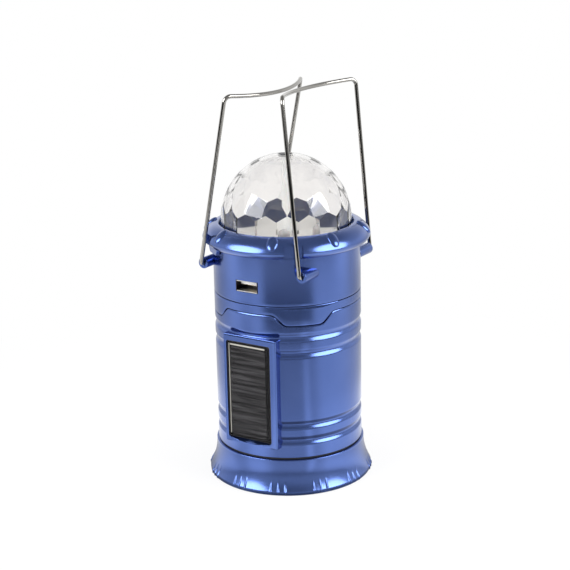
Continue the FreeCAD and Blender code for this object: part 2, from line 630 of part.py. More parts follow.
# USB socket: folded shell open to the front, tongue on its block, contacts under it, board below
shell_outside = block(
    "shell_outside", ("-usb_width / 2", "usb_width / 2"), (f"-{USB_FRONT}", f"-{BOARD_BACK}"),
    (USB_BOTTOM, f"{USB_BOTTOM} + usb_tall"))
shell_room = block(
    "shell_room", ("-usb_width / 2 + usb_sheet", "usb_width / 2 - usb_sheet"),
    (f"-{USB_FRONT} - usb_sheet", f"-{BOARD_BACK} + usb_sheet"),
    (f"{USB_BOTTOM} + usb_sheet", f"{USB_BOTTOM} + usb_tall - usb_sheet"))
nodes.append(cut("usb_shell", shell_outside, shell_room))
TONGUE_TOP = f"({USB_BOTTOM} + usb_tall - usb_sheet * 2)"
TONGUE_FRONT = f"({USB_FRONT} - tongue_inset)"
tongue_blade = block(
    "tongue_blade", ("-tongue_width / 2", "tongue_width / 2"),
    (f"-{TONGUE_FRONT}", f"-{BOARD_BACK} - tongue_back"),
    (f"{TONGUE_TOP} - tongue_thick", TONGUE_TOP))
tongue_block = block(
    "tongue_block", ("-usb_width / 2 + usb_sheet + fit_gap", "usb_width / 2 - usb_sheet - fit_gap"),
    (f"-{BOARD_BACK} - tongue_back", f"-{BOARD_BACK} - usb_sheet - fit_gap"),
    (f"{USB_BOTTOM} + usb_sheet", f"{USB_BOTTOM} + usb_tall - usb_sheet"))
nodes.append(joined("usb_tongue", tongue_blade, tongue_block))
nodes.append(group("usb_contacts", [
    block(
        f"usb_contact_{index}",
        (f"contact_pitch * {place} - contact_width / 2", f"contact_pitch * {place} + contact_width / 2"),
        (f"-{TONGUE_FRONT} + usb_sheet * 2", f"-{BOARD_BACK} - tongue_back"),
        (f"{TONGUE_TOP} - tongue_thick - usb_sheet", f"{TONGUE_TOP} - tongue_thick"))
    for index, place in enumerate((-1.5, -0.5, 0.5, 1.5))
]))
nodes.append(block(
    "usb_board", ("-usb_board_half", "usb_board_half"),
    (f"-{BOARD_BACK} - usb_board_depth / 2", f"-{BOARD_BACK} + usb_board_depth / 2"),
    (f"{USB_BOTTOM} - board_thick", USB_BOTTOM)))

# Chimney: the clear tube that shows when the lantern is pulled up, in its foot ring round a bright cone
nodes.append(tube(
    "chimney", "chimney_radius", "chimney_radius - chimney_wall", CHIMNEY_FOOT_FLOOR, UPPER_BOTTOM))
nodes.append(turned("chimney_foot", [
    ("0", f"{CHIMNEY_FOOT_TOP} - chimney_foot_height"),
    (f"{BORE} - slide_gap", f"{CHIMNEY_FOOT_TOP} - chimney_foot_height"),
    (f"{BORE} - slide_gap", CHIMNEY_FOOT_TOP),
    (CHIMNEY_SEAT, CHIMNEY_FOOT_TOP),
    (CHIMNEY_SEAT, CHIMNEY_FOOT_FLOOR),
    ("0", CHIMNEY_FOOT_FLOOR),
]))
nodes.append(turned("cone_reflector", [
    ("0", f"{CHIMNEY_FOOT_FLOOR} + cone_height - cone_wall"),
    ("cone_tip - cone_wall", f"{CHIMNEY_FOOT_FLOOR} + cone_height - cone_wall"),
    ("cone_radius - cone_wall * 1.5", CHIMNEY_FOOT_FLOOR),
    ("cone_radius", CHIMNEY_FOOT_FLOOR),
    ("cone_tip", f"{CHIMNEY_FOOT_FLOOR} + cone_height"),
    ("0", f"{CHIMNEY_FOOT_FLOOR} + cone_height"),
]))
LAMP_BOARD = f"({UPPER_BOTTOM} - board_thick)"
nodes.append(rod("lamp_board", "lamp_board_radius", "board_thick", z=LAMP_BOARD))
nodes.append(group("lamp_leds", [
    rod(
        f"lamp_led_{index}", "lamp_led_radius", "lamp_led_height", f"lamp_led_circle * cos({angle})",
        f"lamp_led_circle * sin({angle})", f"{LAMP_BOARD} - lamp_led_height")
    for index, angle in enumerate(circle_of("lamp_led_count"))
]))

# Rim: a wide rounded ring with beads on its shoulder, and a notch with a tab for each bail leg
RIM_BORE = "(dome_radius + dome_gap)"
RIM_EDGE = ("body_radius + fit_gap", RIM_BOTTOM)
RIM_CREST = ("rim_radius", RIM_WIDEST)
RIM_SHORE = (f"{RIM_BORE} + rim_land", RIM_TOP)
rim_turning = turned("rim_turning", [
    ("body_radius + fit_gap", UPPER_TOP),
    RIM_EDGE,
    (*RIM_CREST, bulged(RIM_EDGE, RIM_CREST, "rim_under_curve"), -1),
    (*RIM_SHORE, bulged(RIM_CREST, RIM_SHORE, "rim_over_curve"), -1),
    (RIM_BORE, RIM_TOP),
    (RIM_BORE, DECK_BOTTOM),
    (f"{RIM_BORE} - deck_seat", DECK_BOTTOM),
    (f"{RIM_BORE} - deck_seat", UPPER_TOP),
])
beads = []
for index, turn in enumerate(circle_of("bead_count")):
    bead = doc.addObject("Part::Ellipsoid", f"bead_{index}")
    bind(bead, Radius1="bead_proud", Radius2="bead_length", Radius3="bead_width")
    azimuth = value(f"{turn} + 180 / bead_count")
    lean = FreeCAD.Rotation(ALONG_Y, 90 - value("bead_lean"))
    bead.Placement.Rotation = FreeCAD.Rotation(ALONG_Z, azimuth).multiply(lean)
    angle = f"{turn} + 180 / bead_count"
    bind(bead, **{
        "Placement.Base.x": f"{BEAD_CIRCLE} * cos({angle})",
        "Placement.Base.y": f"{BEAD_CIRCLE} * sin({angle})",
        "Placement.Base.z": BEAD_LEVEL,
    })
    beads.append(bead)
NOTCH_ANGLES = ("notch_angle", "180 - notch_angle", "180 + notch_angle", "360 - notch_angle")
notches = []
for index, angle in enumerate(NOTCH_ANGLES):
    notch = doc.addObject("Part::Box", f"notch_{index}")
    bind(notch, Length="rim_radius", Width="notch_width", Height=f"{NOTCH_TOP} - {RIM_BOTTOM} + rim_land")
    put(
        notch, f"{NOTCH_FLOOR} * sin({angle}) - notch_width / 2 * cos({angle})",
        f"-{NOTCH_FLOOR} * cos({angle}) - notch_width / 2 * sin({angle})",
        f"{RIM_BOTTOM} - rim_land", ALONG_Z, f"{angle} - 90")
    notches.append(notch)
tabs = []
for index, angle in enumerate(NOTCH_ANGLES):
    tab = doc.addObject("Part::Wedge", f"tab_{index}")
    bind(
        tab, Ymin="0", Ymax="tab_drop + tab_root", Xmin="-tab_foot", Xmax="tab_foot",
        X2min="-tab_half", X2max="tab_half",
        Zmin="body_radius + fit_gap", Zmax=NOTCH_FLOOR, Z2min="body_radius + fit_gap", Z2max=NOTCH_FLOOR)
    upright = FreeCAD.Rotation(ALONG_X, 90)
    tab.Placement.Rotation = FreeCAD.Rotation(ALONG_Z, value(angle)).multiply(upright)
    tab.setExpression("Placement.Base.z", sized(f"{RIM_BOTTOM} - tab_drop"))
    tabs.append(tab)
notched_rim = cut("notched_rim", joined("beaded_rim", rim_turning, *beads), *notches)
nodes.append(joined("rim_ring", notched_rim, *tabs))

# Deck under the dome with its LEDs and screws
DECK_TOP = f"({DECK_BOTTOM} + deck_thick)"
nodes.append(tube("dome_deck", f"{RIM_BORE} - fit_gap", "deck_hole", DECK_BOTTOM, DECK_TOP))
party_leds = []
for index, angle in enumerate(circle_of("party_led_count")):
    place = (f"party_led_circle * cos({angle})", f"party_led_circle * sin({angle})")
    stem = rod(f"party_stem_{index}", "party_led_radius", "party_led_height", *place, DECK_TOP)
    cap = doc.addObject("Part::Sphere", f"party_cap_{index}")
    bind(cap, Radius="party_led_radius")
    put(cap, *place, f"{DECK_TOP} + party_led_height")
    party_leds.append(joined(f"party_led_{index}", stem, cap))
nodes.append(group("party_leds", party_leds))
nodes.append(group("deck_screws", [
    rod(
        f"deck_screw_{index}", "deck_screw_radius", "deck_screw_height",
        f"deck_screw_circle * cos({angle} + 90)", f"deck_screw_circle * sin({angle} + 90)", DECK_TOP)
    for index, angle in enumerate(circle_of("deck_screw_count"))
]))

# Motor standing in its mount on the upper floor; its shaft turns the dome
MOTOR_BOTTOM = f"({UPPER_FLOOR} + mount_floor)"
MOTOR_TOP = f"({MOTOR_BOTTOM} + motor_length)"
SHAFT_FLOOR = f"({MOTOR_TOP} - shaft_depth)"
nodes.append(turned("motor_mount", [
    ("0", UPPER_FLOOR),
    ("motor_radius + fit_gap + mount_wall", UPPER_FLOOR),
    ("motor_radius + fit_gap + mount_wall", f"{UPPER_FLOOR} + mount_height"),
    ("motor_radius + fit_gap", f"{UPPER_FLOOR} + mount_height"),
    ("motor_radius + fit_gap", MOTOR_BOTTOM),
    ("0", MOTOR_BOTTOM),
]))
nodes.append(turned("motor", [
    ("0", MOTOR_BOTTOM),
    ("motor_radius", MOTOR_BOTTOM),
    ("motor_radius", MOTOR_TOP),
    ("motor_nose_radius", MOTOR_TOP),
    ("motor_nose_radius", f"{MOTOR_TOP} + motor_nose"),
    ("shaft_radius + shaft_gap", f"{MOTOR_TOP} + motor_nose"),
    ("shaft_radius + shaft_gap", SHAFT_FLOOR),
    ("0", SHAFT_FLOOR),
]))
nodes.append(rod(
    "motor_shaft", "shaft_radius", f"{POST_BOTTOM} + shaft_reach - {SHAFT_FLOOR} - slide_gap",
    z=f"{SHAFT_FLOOR} + slide_gap"))

# Dome: a clear moulding, smooth outside, with a hollow of flat facets in staggered rows under a plain cap
DOME_BASE = f"({DOME_CENTRE} - dome_skirt)"
INNER = "(dome_radius - dome_wall)"
SCREW_ROOM = "(dome_screw_shank + fit_gap)"
SCREW_SEAT = "(dome_screw_radius + fit_gap)"
DOME_TOP = f"({DOME_CENTRE} + sqrt(dome_radius ^ 2 - {SCREW_SEAT} ^ 2))"
SEAT_LEVEL = f"({DOME_TOP} - dome_screw_head)"
dome_blank = turned("dome_blank", [
    (SCREW_ROOM, DOME_BASE),
    ("dome_radius", DOME_BASE),
    ("dome_radius", DOME_CENTRE),
    (SCREW_SEAT, DOME_TOP, "dome_radius", -1),
    (SCREW_SEAT, SEAT_LEVEL),
    (SCREW_ROOM, SEAT_LEVEL),
])
dome_core = doc.addObject("PartDesign::Body", "dome_core")


def core_primitive(kind, name, height, **expressions):
    """A ball or cylinder feature of the dome's hollow, standing on the axis at a height."""
    feature = dome_core.newObject("PartDesign::" + kind, name)
    feature.AttachmentSupport = [(origin_plane(dome_core, "XY_Plane"), "")]
    feature.MapMode = "FlatFace"
    feature.setExpression("AttachmentOffset.Base.z", sized(height))
    return bind(feature, **expressions)


core_primitive("AdditiveSphere", "core_ball", DOME_CENTRE, Radius=INNER, Angle1="0")
core_primitive("AdditiveCylinder", "core_mouth", DOME_BASE, Radius=INNER, Height="dome_skirt")
doc.recompute()
for facet_row in range(count("facet_rows")):
    tilt = f"(facet_first_row + facet_row_pitch * {facet_row})"
    near = f"({INNER} - facet_depth)"
    far = f"({INNER} + facet_depth * 2)"
    half = f"(sqrt({INNER} ^ 2 - ({INNER} - facet_depth) ^ 2) + dome_skirt)"
    corners = []
    for reach, side in ((near, "-"), (far, "-"), (far, "+"), (near, "+")):
        corners.append((
            f"{reach} * cos({tilt}) - {side}1 * {half} * sin({tilt})",
            f"{DOME_CENTRE} + {reach} * sin({tilt}) + {side}1 * {half} * cos({tilt})"))
    facet_sketch = sketch_on(dome_core, f"facet_sketch_{facet_row}")
    stagger = FreeCAD.Rotation(FreeCAD.Vector(0, 1, 0), 180 / value("facet_count") * (facet_row % 2))
    facet_sketch.AttachmentOffset = FreeCAD.Placement(FreeCAD.Vector(), stagger)
    draw(facet_sketch, corners)
    facet = dome_core.newObject("PartDesign::Pocket", f"facet_{facet_row}")
    facet.Profile = facet_sketch
    facet.Midplane = True
    bind(facet, Length=f"2 * {half}")
    doc.recompute()
    before = facet.BaseFeature.Shape.Volume
    if not facet.Shape.Volume < before:
        raise ValueError("a facet cut nothing")
    rows = dome_core.newObject("PartDesign::PolarPattern", f"facet_row_{facet_row}")
    rows.Originals = [facet]
    rows.Axis = (facet_sketch, ["V_Axis"])
    rows.Angle = 360
    bind(rows, Occurrences="facet_count")
    dome_core.Tip = rows
    doc.recompute()
put(dome_core, axis=ALONG_Z, angle="facet_phase")
nodes.append(cut("dome", dome_blank, dome_core))

# Post and screw that carry the dome on the motor shaft
DOME_INNER_TOP = f"({DOME_CENTRE} + sqrt({INNER} ^ 2 - {SCREW_ROOM} ^ 2) - fit_gap)"
nodes.append(turned("dome_post", [
    ("shaft_radius + fit_gap / 5", POST_BOTTOM),
    ("dome_post_radius", POST_BOTTOM),
    ("dome_post_radius", f"{DOME_INNER_TOP} - fit_gap"),
    (SCREW_ROOM, f"{DOME_INNER_TOP} - fit_gap"),
    (SCREW_ROOM, f"{DOME_INNER_TOP} - dome_screw_length"),
    ("0", f"{DOME_INNER_TOP} - dome_screw_length"),
    ("0", f"{POST_BOTTOM} + shaft_reach"),
    ("shaft_radius + fit_gap / 5", f"{POST_BOTTOM} + shaft_reach"),
]))
screw_head = rod("screw_head", "dome_screw_radius", "dome_screw_head", z=SEAT_LEVEL)
screw_shank = rod(
    "screw_shank", "dome_screw_shank",
    f"{SEAT_LEVEL} - {DOME_INNER_TOP} + dome_screw_length - fit_gap * 5",
    z=f"{DOME_INNER_TOP} - dome_screw_length + fit_gap * 5")
nodes.append(joined("dome_screw", screw_head, screw_shank))

# Mode button on the rear, kept in by its flange, with its switch and board behind it
FLANGE_FRONT = f"(sqrt({BORE} ^ 2 - (button_radius + button_flange) ^ 2) - slide_gap)"
BUTTON_BACK = f"({FLANGE_FRONT} - button_flange_thick)"
cap_rod = rod(
    "cap_rod", "button_radius", f"body_radius + button_proud - {BUTTON_BACK}", "0", BUTTON_BACK, BUTTON_LEVEL,
    ALONG_X, "-90")
cap_flange = rod(
    "cap_flange", "button_radius + button_flange", "button_flange_thick", "0", BUTTON_BACK, BUTTON_LEVEL,
    ALONG_X, "-90")
nodes.append(joined("mode_button", cap_rod, cap_flange))
PLUNGER_END = f"({BUTTON_BACK} - button_travel - slide_gap / 2)"
SWITCH_FRONT = f"({PLUNGER_END} - plunger_length)"
SWITCH_BACK = f"({SWITCH_FRONT} - switch_depth)"
switch_body = block(
    "switch_body", ("-switch_half", "switch_half"), (SWITCH_BACK, SWITCH_FRONT),
    (f"{BUTTON_LEVEL} - switch_half", f"{BUTTON_LEVEL} + switch_half"))
plunger = rod(
    "plunger", "plunger_radius", "plunger_length + switch_depth / 2", "0",
    f"{SWITCH_FRONT} - switch_depth / 2", BUTTON_LEVEL, ALONG_X, "-90")
nodes.append(joined("button_switch", switch_body, plunger))
nodes.append(block(
    "button_board", ("-button_board_half", "button_board_half"),
    (f"{SWITCH_BACK} - board_thick", SWITCH_BACK),
    (UPPER_FLOOR, f"{UPPER_FLOOR} + button_board_tall")))


def bail_wire(inward):
    """One bent wire, upright, with its hinge on the Y axis and its bar bowed to the given side in X."""
    half = value("bail_half")
    length = value("bail_length")
    bow = value("bail_bow")
    corner = value("bail_corner")
    bend = value("tail_bend")
    tail = value("lug_end - tail_length + hinge_gap * 5")
    sweep = (half ** 2 + bow ** 2) / (2 * bow)
    slant = math.asin(half / sweep)
    along = FreeCAD.Vector(inward * math.sin(slant), math.cos(slant), 0)
    up = FreeCAD.Vector(0, 0, 1)
    foot = FreeCAD.Vector(0, -half, 0)
    top = foot + up * length
    diagonal = 1 - math.sqrt(0.5)

    def mirrored(point):
        return FreeCAD.Vector(point.x, -point.y, point.z)

    def quarter(start, middle, end):
        return Part.Arc(start, middle, end).toShape()

    tail_end = FreeCAD.Vector(0, -tail, 0)
    tail_start = foot + FreeCAD.Vector(0, bend, 0)
    leg_start = foot + up * bend
    tail_middle = foot + FreeCAD.Vector(0, bend * diagonal, bend * diagonal)
    leg_end = top - up * corner
    bar_start = top + along * corner
    corner_middle = top + (along - up) * (corner * diagonal)
    bar_chord = -bar_start.y
    bar_slant_radius = bar_chord / math.sin(slant)
    bar_middle = FreeCAD.Vector(
        bar_start.x + inward * bar_slant_radius * (1 - math.cos(slant)), 0, length)
    edges = [
        Part.LineSegment(tail_end, tail_start).toShape(),
        quarter(tail_start, tail_middle, leg_start),
        Part.LineSegment(leg_start, leg_end).toShape(),
        quarter(leg_end, corner_middle, bar_start),
        quarter(bar_start, bar_middle, mirrored(bar_start)),
        quarter(mirrored(bar_start), mirrored(corner_middle), mirrored(leg_end)),
        Part.LineSegment(mirrored(leg_end), mirrored(leg_start)).toShape(),
        quarter(mirrored(leg_start), mirrored(tail_middle), mirrored(tail_start)),
        Part.LineSegment(mirrored(tail_start), mirrored(tail_end)).toShape(),
    ]
    section = Part.Wire(Part.makeCircle(value("wire_radius"), tail_end, FreeCAD.Vector(0, 1, 0)))
    return Part.Wire(edges).makePipeShell([section], True, False)


# Bails: each one chromed wire, sprung into the lugs of its own side
for label, side, lean in (("left_bail", -1, "left_lean"), ("right_bail", 1, "right_lean")):
    bail = doc.addObject("Part::Feature", label)
    bail.Shape = bail_wire(-side)
    bail.Placement = FreeCAD.Placement(
        FreeCAD.Vector(side * value("hinge_side"), 0, value(HINGE_LEVEL)),
        FreeCAD.Rotation(ALONG_Y, -side * value(lean)))
    nodes.append(bail)

doc.recompute()
for item in doc.Objects:
    if "Invalid" in item.State or "Error" in item.State:
        raise ValueError(f"{item.Label} failed: {item.State}")
for node in nodes:
    if node.Shape.isNull() or not node.Shape.isValid():
        raise ValueError(f"{node.Label} has no valid shape")

os.makedirs("parts", exist_ok=True)
for node in nodes:
    node.Shape.exportStep(f"parts/{node.Label}.step")
print(len(nodes), "pieces written")
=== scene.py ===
import math

import bmesh
import bpy
import numpy as np
from mathutils import Matrix


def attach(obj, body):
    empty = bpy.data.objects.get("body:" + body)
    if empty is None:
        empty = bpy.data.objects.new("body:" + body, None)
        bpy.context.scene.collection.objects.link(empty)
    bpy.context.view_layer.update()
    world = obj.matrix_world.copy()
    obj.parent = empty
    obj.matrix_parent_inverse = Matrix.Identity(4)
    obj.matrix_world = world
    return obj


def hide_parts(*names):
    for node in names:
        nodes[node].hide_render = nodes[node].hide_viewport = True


# A pull-up camping lantern on a plain white studio floor, in the frame of its solids. Shapes are written in
# millimetres, materials and lamps in metres. Azimuths run from the solar panel's side to the right bail's.
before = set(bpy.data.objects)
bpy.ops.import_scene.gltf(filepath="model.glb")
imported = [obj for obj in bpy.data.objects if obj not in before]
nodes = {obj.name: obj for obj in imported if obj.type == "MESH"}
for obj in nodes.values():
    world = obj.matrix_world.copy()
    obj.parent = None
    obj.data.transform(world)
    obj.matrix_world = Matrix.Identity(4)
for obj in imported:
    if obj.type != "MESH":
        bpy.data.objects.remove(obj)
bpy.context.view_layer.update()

# Flared foot: a blue moulded ring that is also the torch head, screwed on under the lower housing.
# Twelve groups of three slim grip ribs stand on its lower edge.
FULL_TURN = 2 * np.pi
FLARE_RADIUS = 31.6
FLARE_OUT = 71.19
FLARE_UP = 17.27
EDGE_ROUND = 0.7
EDGE_OUT = 42.8
RIB_GROUP_PITCH = 30
RIB_PITCH = 5
RIB_TURN = -6.5
RIB_HALF_WIDTH = 0.75
RIB_OUT = 43.0
RIB_HEIGHT = 0.55
RIB_TOP = 7.4
RIB_FADE = 6.0


def skin(name, *grids):
    """One smooth mesh from grids of points in millimetres. A grid is (points, ring, loop): quads join
    points[row, column]; ring joins the last column to the first and loop the last row to the first."""
    corners = []
    quads = []
    start = 0
    for points, ring, loop in grids:
        rows, columns = points.shape[:2]
        number = np.arange(rows * columns).reshape(rows, columns) + start
        if ring:
            number = np.concatenate([number, number[:, :1]], axis=1)
        if loop:
            number = np.concatenate([number, number[:1]], axis=0)
        faces = np.stack([number[:-1, :-1], number[:-1, 1:], number[1:, 1:], number[1:, :-1]], axis=-1)
        faces = faces.reshape(-1, 4)
        flat = points.reshape(-1, 3)
        a, b, c, d = (flat[faces[:, corner] - start] for corner in range(4))
        volume = (np.cross(b - a, c - a) * a).sum() + (np.cross(c - a, d - a) * a).sum()
        quads.append(faces if volume > 0 else faces[:, ::-1])
        corners.append(flat)
        start += rows * columns
    corners = np.concatenate(corners) * 0.001
    quads = np.concatenate(quads)
    mesh = bpy.data.meshes.new(name)
    mesh.vertices.add(len(corners))
    mesh.vertices.foreach_set("co", corners.astype(np.float32).ravel())
    mesh.loops.add(quads.size)
    mesh.loops.foreach_set("vertex_index", quads.astype(np.int32).ravel())
    mesh.polygons.add(len(quads))
    mesh.polygons.foreach_set("loop_start", np.arange(0, quads.size, 4, dtype=np.int32))
    mesh.update(calc_edges=True)
    mesh.validate()
    return smooth_piece(name, mesh, 38)


def smooth_piece(name, mesh, angle):
    """A piece in the scene from a mesh, smooth but for the edges that bend more than an angle in degrees."""
    mesh.polygons.foreach_set("use_smooth", np.ones(len(mesh.polygons), dtype=bool))
    mesh.set_sharp_from_angle(angle=math.radians(angle))
    piece = bpy.data.objects.new(name, mesh)
    bpy.context.scene.collection.objects.link(piece)
    return piece


def around(radius, height, azimuth):
    """Points round the axis: (r sin a, -r cos a, z)."""
    x = radius * np.sin(azimuth)
    y = -radius * np.cos(azimuth)
    return np.stack(np.broadcast_arrays(x, y, height), axis=-1)


def turned(outline, azimuth):
    """An outline of (radius, height) turned about the axis."""
    return around(outline[:, 0, None], outline[:, 1, None], azimuth)


def hollow_flare(height):
    """Radius of the flare, a circle of radius R round a point (a, b) outside the foot:
    r = a - sqrt(R^2 - (z - b)^2)."""
    return FLARE_OUT - np.sqrt(FLARE_RADIUS ** 2 - (height - FLARE_UP) ** 2)


class Lead:
    """One output of a shader graph. Arithmetic on it adds Math nodes, and node adds any other kind."""

    def __init__(self, tree, socket):
        self.tree = tree
        self.socket = socket

    def node(self, kind, settings=None, out=0, **inputs):
        """A node of any kind, its settings, and its inputs by name (underscores for blanks) or _number."""
        made = self.tree.nodes.new("ShaderNode" + kind)
        for key, setting in (settings or {}).items():
            setattr(made, key, setting)
        for key, given in inputs.items():
            place = int(key[1:]) if key[0] == "_" else key.replace("_", " ")
            if isinstance(given, Lead):
                self.tree.links.new(given.socket, made.inputs[place])
            else:
                made.inputs[place].default_value = given
        return Lead(self.tree, made.outputs[out])

    def figure(self, operation, first, second=0.0):
        return self.node("Math", {"operation": operation}, _0=first, _1=second)

    def __add__(self, other):
        return self.figure("ADD", self, other)

    def __radd__(self, other):
        return self.figure("ADD", other, self)

    def __sub__(self, other):
        return self.figure("SUBTRACT", self, other)

    def __rsub__(self, other):
        return self.figure("SUBTRACT", other, self)

    def __mul__(self, other):
        return self.figure("MULTIPLY", self, other)

    def __rmul__(self, other):
        return self.figure("MULTIPLY", other, self)

    def __truediv__(self, other):
        return self.figure("DIVIDE", self, other)

    def __rtruediv__(self, other):
        return self.figure("DIVIDE", other, self)

    def __abs__(self):
        return self.figure("ABSOLUTE", self)

    def at_least(self, low):
        return self.figure("MAXIMUM", self, low)

    def at_most(self, high):
        return self.figure("MINIMUM", self, high)

    def between(self, low, high):
        """0 below low and 1 above high, smooth between them."""
        smooth = {"interpolation_type": "SMOOTHSTEP"}
        return self.node("MapRange", smooth, Value=self, From_Min=low, From_Max=high)

    def noise(self, scale, detail=3.0, stretch=(1, 1, 1)):
        """Fractal noise at a scale per metre on coordinates stretched along each axis."""
        place = self.node("Mapping", Vector=self, Scale=stretch)
        return self.node("TexNoise", Vector=place, Scale=scale, Detail=detail)

    def blend(self, first, second):
        """A colour from first, at 0, to second, at 1, where either may vary."""
        return self.node("Mix", {"data_type": "RGBA"}, 2, Factor=self, _6=first, _7=second)

    def tint(self, first, second):
        """A colour from one plain colour, at 0, to another, at 1."""
        return self.blend((*first, 1), (*second, 1))

    def bump(self, depth):
        """A normal from this height, for relief of a given depth in metres."""
        return self.node("Bump", Height=self, Strength=1.0, Distance=depth)

    def part(self, axis):
        """The x, y or z of a vector."""
        return self.node("SeparateXYZ", None, axis, Vector=self)

    def length(self):
        """The length of a vector."""
        return self.node("VectorMath", {"operation": "LENGTH"}, 1, _0=self)

    def along(self, direction):
        """How far a vector reaches along a direction."""
        return self.node("VectorMath", {"operation": "DOT_PRODUCT"}, 1, _0=self, _1=direction)

    def from_axis(self):
        """The distance of a place from the lantern's axis."""
        return self.node("Mapping", Vector=self, Scale=(1, 1, 0)).length()


def finish(name, **constants):
    """A new material with its shader's constant sockets set; gives it, its shader and object coordinates."""
    material = bpy.data.materials.new(name)
    material.use_nodes = True
    tree = material.node_tree
    shader = next(item for item in tree.nodes if item.type == "BSDF_PRINCIPLED")
    for key, setting in constants.items():
        shader.inputs[key.replace("_", " ")].default_value = setting
    place = Lead(tree, tree.nodes.new("ShaderNodeTexCoord").outputs["Object"])
    return material, shader, place


def feed(shader, **leads):
    """Leads that drive the shader's sockets by name."""
    for key, lead in leads.items():
        lead.tree.links.new(lead.socket, shader.inputs[key.replace("_", " ")])


def dress(piece, material, body=None, slot=None, *replaced):
    """Gives a piece its material, its body and the nodes that it stands for; slot is not used."""
    piece.data.materials.clear()
    piece.data.materials.append(material)
    if body is not None:
        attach(piece, body)
    if replaced:
        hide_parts(*replaced)
    return piece


# The blue lacquer holds metal flakes. Inside the mouldings the colour turns a plain dark navy without metal,
# which is painted shade where little light reaches.
# A fine parting line runs up both sides between the foot and the rim.
blue, shader, place = finish(
    "metallic_blue_plastic", Specular_IOR_Level=0.5, Coat_Roughness=0.14, Coat_IOR=1.5)
flakes = place.noise(5200, 1.0)
cloud = place.noise(38, 3.0)
grain = place.noise(1500, 2.0)
off_line = abs(place.part(1)).between(0.00004, 0.00016)
over_line = place.part(2).between(0.1254, 0.1256)
under_line = 1.0 - place.part(2).between(0.0190, 0.0192)
parting = (off_line + over_line + under_line).at_most(1.0)
# Painted shade: closer than 35.3 mm to the axis the blue is dark navy and not metallic.
lacquer_over_painted_shade = place.from_axis().between(0.0353, 0.0356)
lacquer_blue = (flakes * 0.4 + cloud * 0.6).tint((0.050, 0.094, 0.288), (0.104, 0.172, 0.460))
feed(
    shader, Base_Color=lacquer_over_painted_shade.blend((0.012, 0.032, 0.120, 1), lacquer_blue),
    Metallic=lacquer_over_painted_shade * (0.93 + flakes * 0.06), Roughness=0.155 + grain * 0.05 + cloud * 0.04,
    Coat_Weight=0.2 + cloud * 0.2, Normal=(grain * 0.03 + parting).bump(0.0001))

group_at = RIB_TURN + np.arange(0, 360, RIB_GROUP_PITCH)
rib_at = np.radians(group_at[:, None] + RIB_PITCH * np.array([-1, 0, 1])).ravel()
rib_half = RIB_HALF_WIDTH / RIB_OUT
rib_columns = (rib_at[:, None] + rib_half * np.linspace(-1, 1, 13)).ravel() % FULL_TURN
foot_azimuth = np.unique(np.concatenate([rib_columns, np.linspace(0, FULL_TURN, 240, endpoint=False)]))
edge_turn = np.linspace(0, np.pi / 2, 6)
edge_out = EDGE_OUT + EDGE_ROUND * np.sin(edge_turn)
edge_up = EDGE_ROUND - EDGE_ROUND * np.cos(edge_turn)
flare_height = np.concatenate([np.linspace(2.0, RIB_TOP, 18), np.linspace(8.2, 17.9, 16)])
foot_outline = np.concatenate([
    [(33.6, 0.2), (33.8, 0.0), (38.0, 0.0)],
    np.stack([edge_out, edge_up], axis=1),
    np.stack([hollow_flare(flare_height), flare_height], axis=1),
    [(39.5, 18.1), (39.3, 18.2), (37.3, 18.2), (37.1, 18.0), (37.1, 10.0)],
    [(36.6, 10.0), (36.6, 1.6), (33.8, 1.6), (33.6, 1.4)]])
foot_out, foot_up = foot_outline.T
from_rib = np.abs((foot_azimuth[:, None] - rib_at + np.pi) % FULL_TURN - np.pi).min(axis=1) / rib_half
rib_bulge = 0.5 + 0.5 * np.cos(np.pi * np.clip(from_rib, 0, 1))
rib_fade = np.clip((RIB_TOP - foot_up) / RIB_FADE, 0, 1) * np.clip((foot_up - 0.1) / 0.6, 0, 1)
rib_fade = rib_fade * (foot_out > 38.8)
foot_radius = foot_out[:, None] + RIB_HEIGHT * rib_fade[:, None] * rib_bulge
foot_points = around(foot_radius, foot_up[:, None], foot_azimuth)
dress(skin("ribbed_foot", (foot_points, True, True)), blue, "base", "blue_plastic", "base_foot")

# Black rubber ring squeezed between the foot and the housing's shoulder; it shows as a dark line.


def plain(name, colour, roughness, relief, **constants):
    """A material of one kind all over. colour is (noise scale, first, second), roughness is (least, noise
    scale, spread) and relief is (noise scale, depth in metres)."""
    material, shader, place = finish(name, **constants)
    colour_scale, first, second = colour
    least, rough_scale, spread = roughness
    relief_scale, depth = relief
    feed(
        shader, Base_Color=place.noise(colour_scale).tint(first, second),
        Roughness=least + place.noise(rough_scale) * spread, Normal=place.noise(relief_scale).bump(depth))
    return material


def rounded(corners, radius, steps=4):
    """A closed outline with eased corners: each corner becomes the curve (1-t)^2 a + 2t(1-t) b + t^2 c,
    where a and c lie on its two sides, a radius away or 0.45 of a side if that is less."""
    corners = np.array(corners, dtype=float)
    before = np.roll(corners, 1, axis=0) - corners
    after = np.roll(corners, -1, axis=0) - corners
    reach = []
    for side in (before, after):
        length = np.linalg.norm(side, axis=1, keepdims=True)
        reach.append(corners + side / length * np.minimum(radius, length * 0.45))
    t = np.linspace(0, 1, steps + 1)[None, :, None]
    first, last = reach[0][:, None], reach[1][:, None]
    return ((1 - t) ** 2 * first + 2 * t * (1 - t) * corners[:, None] + t ** 2 * last).reshape(-1, 2)


rubber = plain(
    "black_rubber", (900, (0.012, 0.012, 0.016), (0.03, 0.03, 0.035)), (0.55, 400, 0.2), (2500, 0.00001),
    Specular_IOR_Level=0.3)
circle = np.linspace(0, FULL_TURN, 256, endpoint=False)
gasket_points = turned(rounded([(37.12, 18.25), (38.2, 18.25), (38.2, 19.05), (37.12, 19.05)], 0.25), circle)
dress(skin("rubber_gasket", (gasket_points, True, True)), rubber, "base", "black_rubber", "foot_gasket")

